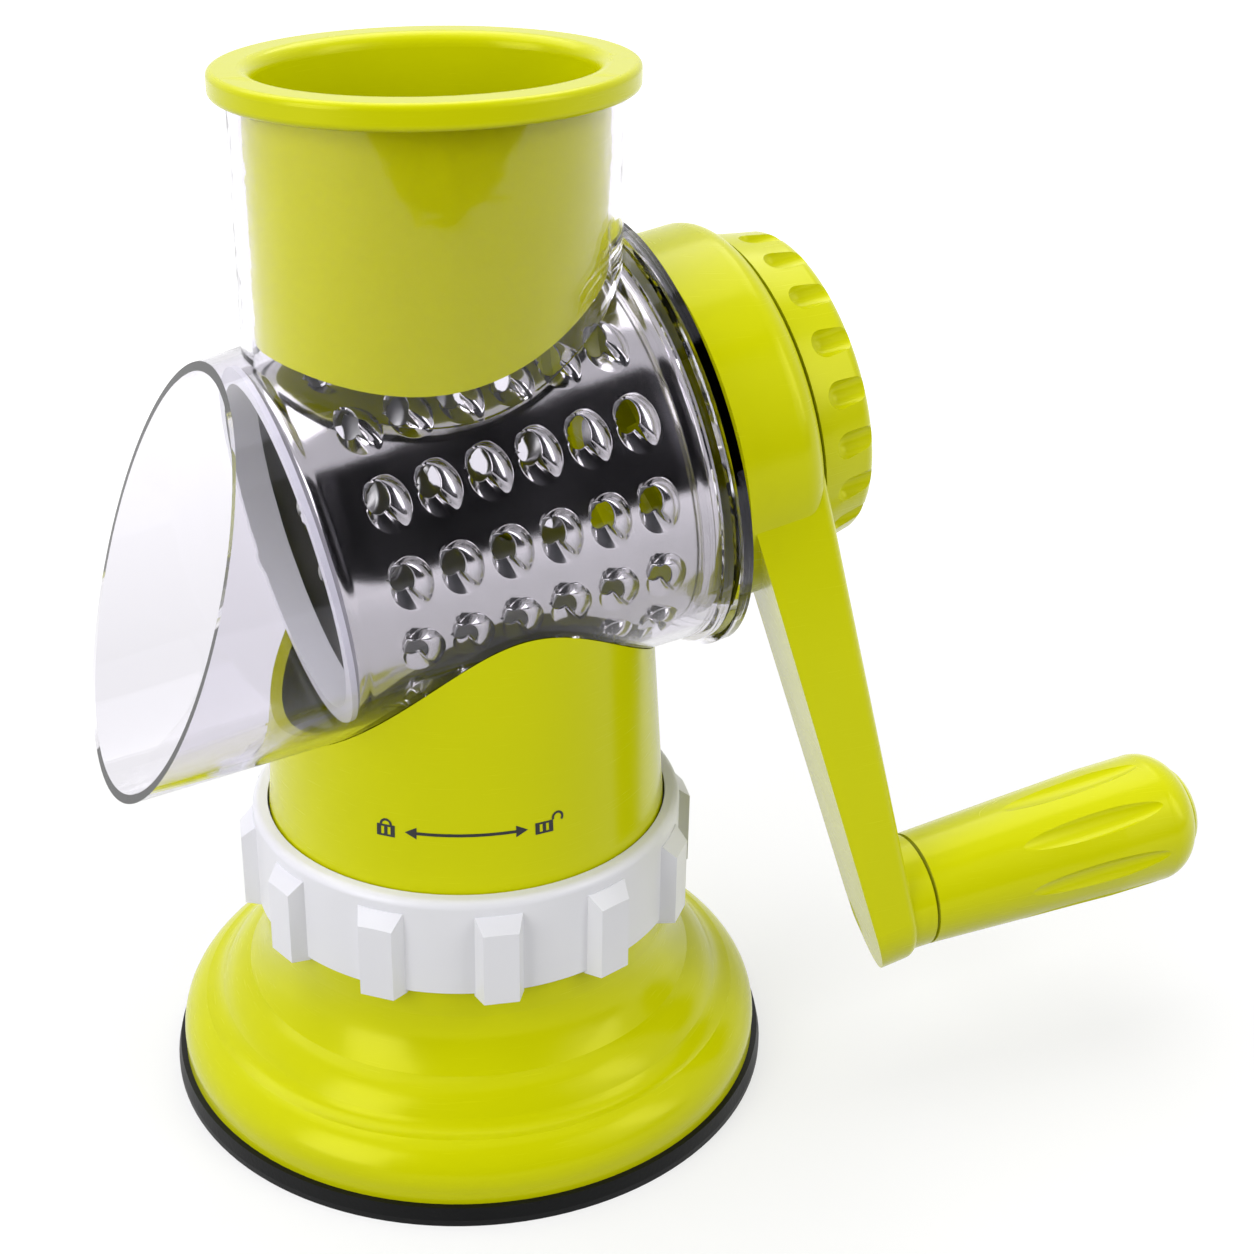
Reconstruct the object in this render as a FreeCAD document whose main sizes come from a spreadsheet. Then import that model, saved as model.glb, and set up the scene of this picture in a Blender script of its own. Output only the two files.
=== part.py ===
"""Rotary cheese grater: suction base, column, clear drum housing, punched drum and crank.

Lengths are in millimetres. The part's frame is +Z up, with its origin at the centre of the
suction cup's underside. +X points to the crank side and -Y to the front. Pieces on the drum's
axis are drawn in a tilted frame whose own Z runs along that axis towards the crank, whose
own X points down and whose own Y points to the rear.
"""
import FreeCAD, Part
import math
import os
import re

import Sketcher

doc = FreeCAD.newDocument("RotaryCheeseGrater")
sheet = doc.addObject("Spreadsheet::Sheet", "Sizes")

SIZES = [
    # suction cup and its stud
    ("base_radius", 64.0),
    ("cup_rim_height", 4.0),
    ("cup_rim_draft", 0.6),
    ("cup_rim_width", 4.6),
    ("cup_sheet", 2.6),
    ("cup_boss_radius", 15.0),
    ("cup_boss_height", 13.0),
    ("stud_plate_radius", 10.0),
    ("stud_plate_height", 2.0),
    ("stud_radius", 5.0),
    ("stud_hole_depth", 12.0),
    # base shell
    ("shell_foot_inset", 1.8),
    ("shell_foot_height", 2.4),
    ("shell_wall", 2.4),
    ("shell_slant_wall", 1.7),
    ("shell_step_inset", 0.7),
    ("bulge_radius", 9.0),
    ("bulge_end_radius", 57.1),
    ("bulge_end_height", 15.6),
    ("step_radius", 5.0),
    ("shoulder_start_radius", 53.4),
    ("shoulder_start_height", 17.8),
    ("shoulder_radius", 12.0),
    ("shoulder_end_radius", 47.3),
    ("shoulder_end_height", 23.4),
    ("neck_sweep_radius", 16.0),
    ("neck_radius", 42.6),
    ("neck_start_height", 34.5),
    ("neck_top_height", 41.2),
    ("tube_radius", 36.6),
    ("tube_wall", 2.2),
    ("tube_top_height", 60.7),
    ("tube_flange_inner_radius", 25.0),
    # lock ring, its ribs and the lifter that it raises
    ("ring_gap", 0.4),
    ("ring_radius", 44.6),
    ("ring_height", 21.0),
    ("ring_rib_count", 12.0),
    ("ring_rib_width", 7.0),
    ("ring_rib_height", 2.8),
    ("ring_rib_root", 0.6),
    ("ring_rib_angle", 17.5),
    ("ring_rib_slope", 2.6),
    ("ring_rib_drop", 0.8),
    ("ring_edge_round", 1.6),
    ("peg_radius", 2.3),
    ("peg_reach", 39.4),
    ("peg_height", 49.6),
    ("peg_gap", 0.4),
    ("peg_count", 3.0),
    ("lift", 3.75),
    ("lock_turn", 75.0),
    ("track_run_out", 6.0),
    ("lifter_thickness", 4.8),
    ("lifter_gap", 0.5),
    ("lifter_arm_width", 11.0),
    ("lifter_arm_setback", 1.0),
    ("lifter_hub_radius", 10.0),
    # column
    ("column_foot_radius", 41.1),
    ("column_foot_drop", 2.5),
    ("column_straight_height", 62.0),
    ("column_top_radius", 36.6),
    ("column_top_height", 124.0),
    ("column_wall", 2.4),
    ("column_floor", 2.4),
    ("saddle_gap", 0.1),
    # screws under the column
    ("screw_radius", 1.5),
    ("screw_head_radius", 3.0),
    ("screw_head_height", 2.4),
    ("screw_length", 10.0),
    ("screw_gap", 0.05),
    ("screw_boss_radius", 3.8),
    ("screw_boss_height", 9.0),
    ("column_screw_circle", 30.0),
    ("column_screw_angle", 60.0),
    ("housing_screw_circle", 16.0),
    ("housing_screw_angle", 0.0),
    ("screw_count", 3.0),
    # drum axis and drum
    ("axis_height", 129.5),
    ("drum_tilt", 9.8),
    ("drum_start", -35.6),
    ("drum_end", 37.5),
    ("drum_small_radius", 34.6),
    ("drum_big_radius", 38.2),
    ("drum_wall", 0.6),
    ("end_ring_lip", 1.2),
    ("end_ring_lip_cover", 0.9),
    ("end_ring_depth", 5.2),
    ("end_ring_width", 1.6),
    ("end_ring_gap", 0.05),
    ("tooth_hole_radius", 3.0),
    ("tooth_rows", 15.0),
    ("teeth_per_row", 6.0),
    ("tooth_pitch", 9.6),
    ("tooth_first", -24.0),
    ("drum_hub_depth", 5.0),
    ("drum_hub_web", 2.6),
    ("drum_hub_rim", 3.0),
    ("drum_hub_boss_radius", 11.0),
    ("drum_hub_boss_length", 9.0),
    ("drum_hub_rib", 2.0),
    ("drum_hub_rib_count", 6.0),
    ("drum_hub_lip", 0.6),
    # shaft and bearing
    ("shaft_radius", 6.0),
    ("shaft_square", 9.0),
    ("shaft_thread_radius", 4.0),
    ("shaft_thread_length", 9.6),
    ("thread_gap", 0.2),
    ("running_gap", 0.05),
    ("bush_wall", 3.0),
    ("bush_flange", 1.6),
    ("bush_flange_thickness", 0.7),
    ("washer_radius", 10.5),
    ("washer_thickness", 0.9),
    ("washer_gap", 0.4),
    # clear housing
    ("housing_clearance", 2.4),
    ("housing_wall", 1.6),
    ("mouth_position", -61.6),
    ("mouth_angle", 28.5),
    ("mouth_reach", 95.0),
    ("chute_centre", -4.9),
    ("chute_half_length", 36.2),
    ("chute_half_width", 30.0),
    ("chute_wall", 2.0),
    ("chute_top_height", 207.5),
    ("collar_radius", 43.2),
    ("collar_length", 2.0),
    ("flange_radius", 44.8),
    ("flange_wall", 2.4),
    ("flange_step", 0.6),
    ("end_plate_recess", 1.4),
    ("end_plate_thickness", 1.6),
    ("end_plate_gap", 0.25),
    ("end_plate_boss_wall", 2.8),
    ("end_plate_boss_height", 0.8),
    ("spigot_radius", 22.0),
    ("spigot_wall", 2.2),
    ("spigot_floor", 11.0),
    # pusher
    ("pusher_gap", 0.7),
    ("pusher_wall", 2.2),
    ("pusher_rim_overhang", 3.0),
    ("pusher_rim_height", 4.8),
    ("pusher_seat_gap", 0.3),
    ("pusher_drum_gap", 6.0),
    ("pusher_plate_gap", 1.2),
    ("pusher_floor", 2.4),
    ("pusher_lip_round", 2.6),
    ("pusher_rim_round", 1.2),
    # crank
    ("crank_hub_gap", 3.3),
    ("crank_boss_recess", 0.3),
    ("crank_hub_radius", 38.0),
    ("crank_hub_length", 18.2),
    ("crank_hub_wall", 3.0),
    ("crank_hub_round", 6.0),
    ("crank_boss_radius", 11.0),
    ("crank_radius", 111.5),
    ("crank_forward_angle", 21.0),
    ("arm_root_radius", 19.6),
    ("arm_knob_gap", 1.0),
    ("arm_root_forward_angle", 83.5),
    ("arm_root_half_width", 15.7),
    ("arm_tip_half_width", 13.0),
    ("arm_inner_slant", 13.0),
    ("arm_inner_lean", 5.0),
    ("arm_outer_lean", 1.2),
    ("arm_edge_round", 2.4),
    ("grip_boss_radius", 12.2),
    ("grip_boss_height", 5.3),
    ("grip_boss_depth", 4.0),
    ("grip_cant", 5.0),
    # knob and grip
    ("knob_gap", 0.3),
    ("knob_base_radius", 34.0),
    ("knob_edge_radius", 31.6),
    ("knob_length", 12.4),
    ("knob_edge_round", 3.2),
    ("knob_crown", 1.2),
    ("knob_wall", 3.8),
    ("knob_boss_radius", 8.5),
    ("knob_scallops", 20.0),
    ("scallop_radius", 2.9),
    ("scallop_circle", 33.6),
    ("scallop_start", 3.0),
    ("nut_radius", 6.0),
    ("nut_length", 6.5),
    ("grip_start_radius", 12.2),
    ("grip_belly_radius", 14.4),
    ("grip_belly_position", 46.0),
    ("grip_shoulder_position", 58.0),
    ("grip_length", 65.0),
    ("grip_end_radius", 11.4),
    ("grip_washer_radius", 10.6),
    ("grip_washer_thickness", 0.5),
    ("grip_gap", 0.3),
    ("pin_radius", 4.0),
    ("pin_head_radius", 6.5),
    ("pin_head_height", 3.0),
    ("pin_cap_gap", 5.0),
    ("pin_tail", 11.0),
    ("grip_end_round", 8.0),
    ("flute_count", 8.0),
    ("flute_centre", 36.0),
    ("flute_half_length", 22.0),
    ("flute_half_width", 3.2),
    ("flute_depth", 1.7),
    ("flute_reach", 2.6),
    ("cap_radius", 10.2),
    ("cap_plug_radius", 7.4),
    ("cap_plug_length", 6.0),
    ("cap_height", 2.2),
]

for row, (name, value) in enumerate(SIZES, start=1):
    sheet.set(f"A{row}", name)
    sheet.set(f"B{row}", str(value))
    sheet.setAlias(f"B{row}", name)
doc.recompute()

NAMES = {name for name, value in SIZES}
ORIGIN = FreeCAD.Vector(0, 0, 0)
Y_AXIS = FreeCAD.Vector(0, 1, 0)
Z_AXIS = FreeCAD.Vector(0, 0, 1)
PASS = 1.0
FULL_TURN = 360.0
QUARTER_TURN = 90.0


def bound(expression):
    """Return the expression with each size's name pointing at its cell in the sheet."""
    return re.sub(r"[a-z_]+", lambda word: f"Sizes.{word[0]}" if word[0] in NAMES else word[0], expression)


def number(expression):
    """Return what an expression of size names comes to."""
    return float(sheet.evalExpression(bound(expression)))


def bind(item, **properties):
    """Bind properties of an object to expressions of size names."""
    for name, expression in properties.items():
        item.setExpression(name.replace("__", "."), bound(expression))


# ---------------------------------------------------------------- frames


def drum_frame():
    """Return the placement of the tilted frame on the drum's axis."""
    turn = FreeCAD.Rotation(Y_AXIS, QUARTER_TURN - number("drum_tilt"))
    return FreeCAD.Placement(FreeCAD.Vector(0, 0, number("axis_height")), turn)


def put_on_drum_axis(item, along="0"):
    """Place an object in the drum's frame, bound to the sheet; along is its start on the axis."""
    item.Placement = drum_frame()
    bind(
        item,
        Placement__Rotation__Angle=f"{QUARTER_TURN} - drum_tilt",
        Placement__Base__x=f"({along}) * cos(drum_tilt)",
        Placement__Base__z=f"axis_height + ({along}) * sin(drum_tilt)",
    )
    return item


def crank_direction(angle):
    """Return the unit vector, in the drum's frame, that leans forward from straight down."""
    turn = math.radians(number(angle))
    return FreeCAD.Vector(math.cos(turn), -math.sin(turn), 0)


def grip_frame():
    """Return the placement whose own Z is the grip's axis and whose origin is the grip's start."""
    outward = crank_direction("crank_forward_angle")
    start = outward * number("crank_radius") + Z_AXIS * number(GRIP_START)
    cant = FreeCAD.Rotation(Z_AXIS.cross(outward), number("grip_cant"))
    return drum_frame().multiply(FreeCAD.Placement(start, cant))


# ---------------------------------------------------------------- drawing helpers


def plane_of(body, role):
    """Return one of a body's own origin planes or axes."""
    return next(item for item in body.Origin.OriginFeatures if item.Role == role)


def new_body(label):
    """Make an empty body with a name of its own."""
    body = doc.addObject("PartDesign::Body", label)
    body.Label = label
    return body


def arc_between(start, end, radius, turn):
    """Return the arc shorter than half a turn; turn is 1 to bend left and -1 to bend right."""
    chord = end - start
    rise = math.sqrt(radius * radius - chord.Length**2 / 4)
    left = FreeCAD.Vector(-chord.y, chord.x, 0).normalize()
    centre = (start + end) * 0.5 + left * rise * turn
    first, last = (start, end) if turn > 0 else (end, start)
    angles = [math.atan2(point.y - centre.y, point.x - centre.x) for point in (first, last)]
    return Part.ArcOfCircle(Part.Circle(centre, Z_AXIS, radius), *angles)


def outline(body, role, name, corners, height="0"):
    """Draw a closed outline on an origin plane, every corner bound to the sheet.

    A corner is (x, y) as expressions. A corner (x, y, radius, turn) starts an arc.
    """
    sketch = body.newObject("Sketcher::SketchObject", name)
    sketch.AttachmentSupport = (plane_of(body, role), [""])
    sketch.MapMode = "FlatFace"
    sketch.AttachmentOffset = FreeCAD.Placement(Z_AXIS * number(height), FreeCAD.Rotation())
    bind(sketch, AttachmentOffset__Base__z=height)
    points = [FreeCAD.Vector(number(corner[0]), number(corner[1]), 0) for corner in corners]
    ends = []
    for index, corner in enumerate(corners):
        start = points[index]
        end = points[(index + 1) % len(points)]
        if len(corner) == 2:
            sketch.addGeometry(Part.LineSegment(start, end), False)
            ends.append((1, 2))
        else:
            radius, turn = corner[2:]
            sketch.addGeometry(arc_between(start, end, number(radius), turn), False)
            ends.append((1, 2) if turn > 0 else (2, 1))
            size = sketch.addConstraint(Sketcher.Constraint("Radius", index, number(radius)))
            sketch.setExpression(f"Constraints[{size}]", bound(radius))
    for index, corner in enumerate(corners):
        follower = (index + 1) % len(corners)
        sketch.addConstraint(
            Sketcher.Constraint("Coincident", index, ends[index][1], follower, ends[follower][0])
        )
        values = (points[index].x, points[index].y)
        for kind, expression, value in zip(("DistanceX", "DistanceY"), corner[:2], values):
            place = Sketcher.Constraint(kind, -1, 1, index, ends[index][0], value)
            size = sketch.addConstraint(place)
            sketch.setExpression(f"Constraints[{size}]", bound(expression))
    return sketch


def turned(label, corners):
    """Make a body by turning an outline of (radius, height) about the body's own Z."""
    body = new_body(label)
    revolve(body, f"{label}_turned", corners)
    return body


def revolve(body, name, corners, kind="PartDesign::Revolution"):
    """Add or, as a Groove, cut an outline of (radius, height) turned about the body's own Z."""
    sketch = outline(body, "XZ_Plane", f"{name}_outline", corners)
    feature = body.newObject(kind, name)
    feature.Profile = (sketch, [""])
    feature.ReferenceAxis = (sketch, ["V_Axis"])
    feature.Angle = FULL_TURN
    return feature


def rounded(corners, radius):
    """Return an outline's corners, going left round it, with each one rounded off by an arc."""
    size = number(radius)
    points = [FreeCAD.Vector(x, y, 0) for x, y in corners]
    result = []
    for index, point in enumerate(points):
        before = (points[index - 1] - point).normalize()
        after = (points[(index + 1) % len(points)] - point).normalize()
        setback = size / math.tan(before.getAngle(after) / 2)
        start = point + before * setback
        end = point + after * setback
        result.append((str(start.x), str(start.y), radius, 1))
        result.append((str(end.x), str(end.y)))
    return result


def circle_sketch(body, name, radius, centre=("0", "0"), height="0"):
    """Draw one circle, bound to the sheet, at a height over the body's own XY plane."""
    sketch = body.newObject("Sketcher::SketchObject", name)
    sketch.AttachmentSupport = (plane_of(body, "XY_Plane"), [""])
    sketch.MapMode = "FlatFace"
    sketch.AttachmentOffset = FreeCAD.Placement(Z_AXIS * number(height), FreeCAD.Rotation())
    bind(sketch, AttachmentOffset__Base__z=height)
    middle = FreeCAD.Vector(number(centre[0]), number(centre[1]), 0)
    sketch.addGeometry(Part.Circle(middle, Z_AXIS, number(radius)), False)
    limits = [
        (Sketcher.Constraint("Radius", 0, number(radius)), radius),
        (Sketcher.Constraint("DistanceX", -1, 1, 0, 3, middle.x), centre[0]),
        (Sketcher.Constraint("DistanceY", -1, 1, 0, 3, middle.y), centre[1]),
    ]
    for constraint, expression in limits:
        size = sketch.addConstraint(constraint)
        sketch.setExpression(f"Constraints[{size}]", bound(expression))
    return sketch


def pad(body, name, sketch, length):
    """Pad a sketch along its normal."""
    feature = body.newObject("PartDesign::Pad", name)
    feature.Profile = (sketch, [""])
    bind(feature, Length=length)
    return feature


def pocket(body, name, sketch, length, along_normal=False):
    """Cut a sketch into the body, against its normal unless told otherwise."""
    feature = body.newObject("PartDesign::Pocket", name)
    feature.Profile = (sketch, [""])
    feature.Reversed = along_normal
    bind(feature, Length=length)
    return feature


def around(body, features, count):
    """Repeat features evenly round the body's own Z, and make the result the body's tip."""
    pattern = body.newObject("PartDesign::PolarPattern", f"{features[0].Name}_round")
    pattern.Originals = features
    pattern.Axis = (plane_of(body, "Z_Axis"), [""])
    pattern.Angle = FULL_TURN
    bind(pattern, Occurrences=count)
    body.Tip = pattern
    return pattern


def round_edges(body, name, chosen, radius):
    """Fillet the edges of the body's tip that the test picks."""
    doc.recompute()
    base = body.Tip
    picked = [f"Edge{index}" for index, edge in enumerate(base.Shape.Edges, start=1) if chosen(edge)]
    feature = body.newObject("PartDesign::Fillet", name)
    feature.Base = (base, picked)
    bind(feature, Radius=radius)
    return feature


def circle_at(radius, height):
    """Return a test for full or part circles of one radius at one height over the body's XY."""
    size = number(radius)
    level = number(height)

    def test(edge):
        box = edge.BoundBox
        curved = isinstance(edge.Curve, Part.Circle) and abs(edge.Curve.Radius - size) < 0.01
        return curved and abs(box.ZMin - level) < 0.01 and abs(box.ZMax - level) < 0.01

    return test


def cylinder(name, radius, height):
    """Make a bound cylinder about its own Z."""
    item = doc.addObject("Part::Cylinder", name)
    bind(item, Radius=radius, Height=height)
    return item


def cone(name, start_radius, end_radius, height):
    """Make a bound cone about its own Z."""
    item = doc.addObject("Part::Cone", name)
    bind(item, Radius1=start_radius, Radius2=end_radius, Height=height)
    return item


def oval(name, half_length, half_width, bottom, top):
    """Make an upright elliptic column, long in X, centred over the chute."""
    edge = doc.addObject("Part::Ellipse", f"{name}_edge")
    bind(edge, MajorRadius=half_length, MinorRadius=half_width)
    bind(edge, Placement__Base__x="chute_centre", Placement__Base__z=bottom)
    item = doc.addObject("Part::Extrusion", name)
    item.Base = edge
    item.DirMode = "Custom"
    item.Dir = Z_AXIS
    item.Solid = True
    bind(item, LengthFwd=f"({top}) - ({bottom})")
    return item


def fuse(name, items):
    """Fuse objects into one."""
    item = doc.addObject("Part::MultiFuse", name)
    item.Shapes = items
    item.Refine = True
    return item


def cut(name, base, tool):
    """Cut one object out of another."""
    item = doc.addObject("Part::Cut", name)
    item.Base = base
    item.Tool = tool
    item.Refine = True
    return item


pieces = []


def piece(item, label):
    """Give a finished sub-part its name and keep it for export."""
    item.Label = label
    pieces.append(item)
    return item


# ---------------------------------------------------------------- suction cup and stud

STUD_BOTTOM = "cup_sheet"
LIFTER_BOTTOM = "peg_height - lifter_thickness / 2"
LIFTER_TOP = "peg_height + lifter_thickness / 2"


def suction_cup():
    """Rubber disc with a raised rim that the base stands on and a boss moulded round the stud."""
    cavity_radius = "stud_plate_radius + lifter_gap"
    cavity_top = "cup_sheet + stud_plate_height + lift + lifter_gap"
    body = turned(
        "suction_cup",
        [
            ("0", "0"),
            ("base_radius", "0"),
            ("base_radius", "cup_rim_height / 3"),
            ("base_radius - cup_rim_draft", "cup_rim_height"),
            ("base_radius - cup_rim_width", "cup_rim_height"),
            ("base_radius - cup_rim_width", "cup_sheet"),
            ("cup_boss_radius + cup_rim_draft", "cup_sheet"),
            ("cup_boss_radius", "cup_boss_height"),
            ("stud_radius + lifter_gap", "cup_boss_height"),
            ("stud_radius + lifter_gap", cavity_top),
            (cavity_radius, cavity_top),
            (cavity_radius, "cup_sheet - lifter_gap"),
            ("0", "cup_sheet - lifter_gap"),
        ],
    )
    return piece(body, "suction_cup")


def cup_stud():
    """Steel stud held by its plate in the cup's boss, tapped from above for the lifter screw."""
    body = turned(
        "cup_stud",
        [
            ("0", STUD_BOTTOM),
            ("stud_plate_radius", STUD_BOTTOM),
            ("stud_plate_radius", f"{STUD_BOTTOM} + stud_plate_height"),
            ("stud_radius", f"{STUD_BOTTOM} + stud_plate_height"),
            ("stud_radius", LIFTER_BOTTOM),
            ("screw_radius + screw_gap", LIFTER_BOTTOM),
            ("screw_radius + screw_gap", f"{LIFTER_BOTTOM} - stud_hole_depth"),
            ("0", f"{LIFTER_BOTTOM} - stud_hole_depth"),
        ],
    )
    return piece(body, "cup_stud")


# ---------------------------------------------------------------- base shell

SHELL_FOOT_RADIUS = "base_radius - shell_foot_inset"
SLOT_BOTTOM = "peg_height - peg_radius - peg_gap"
SLOT_TOP = "peg_height + lift + peg_radius + peg_gap"


def base_shell():
    """Moulded foot: a domed skirt, a neck, and the tube that the lock ring turns on."""
    body = turned(
        "base_shell",
        [
            (SHELL_FOOT_RADIUS, "cup_rim_height"),
            (SHELL_FOOT_RADIUS, "cup_rim_height + shell_foot_height", "bulge_radius", 1),
            ("bulge_end_radius", "bulge_end_height", "step_radius", -1),
            ("shoulder_start_radius", "shoulder_start_height", "shoulder_radius", 1),
            ("shoulder_end_radius", "shoulder_end_height", "neck_sweep_radius", -1),
            ("neck_radius", "neck_start_height"),
            ("neck_radius", "neck_top_height"),
            ("tube_radius", "neck_top_height"),
            ("tube_radius", "tube_top_height"),
            ("tube_flange_inner_radius", "tube_top_height"),
            ("tube_flange_inner_radius", "tube_top_height - tube_wall"),
            ("tube_radius - tube_wall", "tube_top_height - tube_wall"),
            ("tube_radius - tube_wall", "neck_top_height - shell_wall"),
            ("neck_radius - shell_wall", "neck_top_height - shell_wall"),
            ("neck_radius - shell_wall", "neck_start_height", "neck_sweep_radius + shell_wall", 1),
            (
                "shoulder_end_radius - shell_slant_wall",
                "shoulder_end_height - shell_slant_wall",
                "shoulder_radius",
                -1,
            ),
            ("shoulder_start_radius - shell_step_inset", "shoulder_start_height - shell_wall"),
            (
                "bulge_end_radius - shell_slant_wall",
                "bulge_end_height - shell_slant_wall",
                "bulge_radius - shell_wall / 2",
                -1,
            ),
            (f"{SHELL_FOOT_RADIUS} - shell_wall", "cup_rim_height + shell_foot_height"),
            (f"{SHELL_FOOT_RADIUS} - shell_wall", "cup_rim_height"),
        ],
    )
    half = "(peg_radius + peg_gap)"
    slot = outline(
        body,
        "YZ_Plane",
        "peg_slot",
        [
            (f"-{half}", SLOT_BOTTOM),
            (half, SLOT_BOTTOM),
            (half, SLOT_TOP),
            (f"-{half}", SLOT_TOP),
        ],
    )
    slot_cut = pocket(body, "peg_slot_cut", slot, f"tube_radius + {PASS}", along_normal=True)
    around(body, [slot_cut], "peg_count")
    hole = circle_sketch(
        body, "column_screw_hole", "screw_radius + screw_gap",
        screw_spot("column_screw"), "tube_top_height",
    )
    around(body, [pocket(body, "column_screw_hole_cut", hole, "tube_wall")], "screw_count")
    return piece(body, "base_shell")


def screw_spot(screws):
    """Return the centre, as expressions, of the first hole of a ring of screws."""
    return (f"{screws}_circle * cos({screws}_angle)", f"{screws}_circle * sin({screws}_angle)")


# ---------------------------------------------------------------- lock ring and lifter

RING_BOTTOM = "neck_top_height + ring_gap"
RING_TOP = "neck_top_height + ring_gap + ring_height"
COLUMN_FOOT = "tube_top_height - column_foot_drop"
COLUMN_FLOOR_TOP = "tube_top_height + column_floor"


def lock_ring():
    """Ribbed collar with three helical tracks; turning it raises the pegs of the lifter."""
    body = turned(
        "lock_ring",
        [
            ("tube_radius + ring_gap", RING_BOTTOM),
            ("ring_radius", RING_BOTTOM),
            ("ring_radius", RING_TOP),
            ("column_foot_radius + ring_gap", RING_TOP),
            ("column_foot_radius + ring_gap", f"{COLUMN_FOOT} - ring_gap"),
            ("tube_radius + ring_gap", f"{COLUMN_FOOT} - ring_gap"),
        ],
    )
    round_edges(body, "ring_top_round", circle_at("ring_radius", RING_TOP), "ring_edge_round")
    crest = "ring_radius + ring_rib_height"
    foot = "ring_rib_width / 2 + ring_rib_height / 2"
    rib = outline(
        body,
        "XY_Plane",
        "ring_rib",
        [
            ("ring_radius - 2 * ring_rib_root", f"-({foot})"),
            ("ring_radius - ring_rib_root", f"-({foot})"),
            (crest, "-ring_rib_width / 2"),
            (crest, "ring_rib_width / 2"),
            ("ring_radius - ring_rib_root", foot),
            ("ring_radius - 2 * ring_rib_root", foot),
        ],
        f"{RING_BOTTOM} - ring_rib_drop",
    )
    rib.AttachmentOffset = FreeCAD.Placement(
        rib.AttachmentOffset.Base, FreeCAD.Rotation(Z_AXIS, number("ring_rib_angle"))
    )
    rib_pad = pad(body, "ring_rib_pad", rib, "ring_height + ring_rib_drop - 2 * ring_edge_round")
    around(body, [rib_pad], "ring_rib_count")
    rib_top = f"{RING_BOTTOM} + ring_height - 2 * ring_edge_round"
    slope = [
        (f"{crest} - ring_rib_slope", rib_top),
        (f"{crest} + {PASS}", f"{rib_top} - ring_rib_slope - {PASS}"),
        (f"{crest} + {PASS}", rib_top),
    ]
    revolve(body, "ring_rib_slope_cut", slope, "PartDesign::Groove")
    track_half = "(peg_radius + peg_gap)"
    track_drop = "lift * track_run_out / lock_turn"
    track = outline(
        body,
        "XZ_Plane",
        "peg_track",
        [
            ("tube_radius", f"peg_height - {track_half} - {track_drop}"),
            ("peg_reach + ring_gap", f"peg_height - {track_half} - {track_drop}"),
            ("peg_reach + ring_gap", f"peg_height + {track_half} - {track_drop}"),
            ("tube_radius", f"peg_height + {track_half} - {track_drop}"),
        ],
    )
    track.AttachmentOffset = FreeCAD.Placement(
        ORIGIN, FreeCAD.Rotation(Y_AXIS, -number("track_run_out"))
    )
    helix = body.newObject("PartDesign::SubtractiveHelix", "peg_track_cut")
    helix.Profile = (track, [""])
    helix.ReferenceAxis = (track, ["V_Axis"])
    helix.Mode = 0
    bind(helix, Pitch=f"lift * {FULL_TURN} / lock_turn")
    bind(helix, Height=f"lift + 2 * {track_drop}")
    around(body, [helix], "peg_count")
    return piece(body, "lock_ring")


def lifter():
    """Three-armed spider inside the tube whose pegs pass through the slots into the tracks."""
    body = new_body("lifter")
    hub = circle_sketch(body, "lifter_hub", "lifter_hub_radius", height=LIFTER_BOTTOM)
    pad(body, "lifter_hub_pad", hub, "lifter_thickness")
    reach = "tube_radius - tube_wall - lifter_gap - lifter_arm_setback"
    arm = outline(
        body,
        "XY_Plane",
        "lifter_arm",
        [
            ("0", "-lifter_arm_width / 2"),
            (reach, "-lifter_arm_width / 2"),
            (reach, "lifter_arm_width / 2"),
            ("0", "lifter_arm_width / 2"),
        ],
        LIFTER_BOTTOM,
    )
    arm_pad = pad(body, "lifter_arm_pad", arm, "lifter_thickness")
    around(body, [arm_pad], "peg_count")
    peg = outline_circle_on_side(body, "lifter_peg", "peg_radius", "peg_height")
    peg_pad = pad(body, "lifter_peg_pad", peg, "peg_reach")
    around(body, [peg_pad], "peg_count")
    hole = circle_sketch(body, "lifter_screw_hole", "screw_radius + screw_gap", height=LIFTER_TOP)
    pocket(body, "lifter_screw_hole_cut", hole, "lifter_thickness")
    return piece(body, "lifter")


def outline_circle_on_side(body, name, radius, height):
    """Draw a bound circle on the body's YZ plane, over its own Z axis."""
    sketch = body.newObject("Sketcher::SketchObject", name)
    sketch.AttachmentSupport = (plane_of(body, "YZ_Plane"), [""])
    sketch.MapMode = "FlatFace"
    middle = FreeCAD.Vector(0, number(height), 0)
    sketch.addGeometry(Part.Circle(middle, Z_AXIS, number(radius)), False)
    limits = [
        (Sketcher.Constraint("Radius", 0, number(radius)), radius),
        (Sketcher.Constraint("DistanceX", -1, 1, 0, 3, 0.0), "0"),
        (Sketcher.Constraint("DistanceY", -1, 1, 0, 3, middle.y), height),
    ]
    for constraint, expression in limits:
        size = sketch.addConstraint(constraint)
        sketch.setExpression(f"Constraints[{size}]", bound(expression))
    return sketch


def screw(label, bottom):
    """Make one pan-head screw about its own Z, head down, from the bottom of its head."""
    return turned(
        label,
        [
            ("0", bottom),
            ("screw_head_radius", bottom),
            ("screw_head_radius", f"{bottom} + screw_head_height"),
            ("screw_radius", f"{bottom} + screw_head_height"),
            ("screw_radius", f"{bottom} + screw_head_height + screw_length"),
            ("0", f"{bottom} + screw_head_height + screw_length"),
        ],
    )


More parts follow.
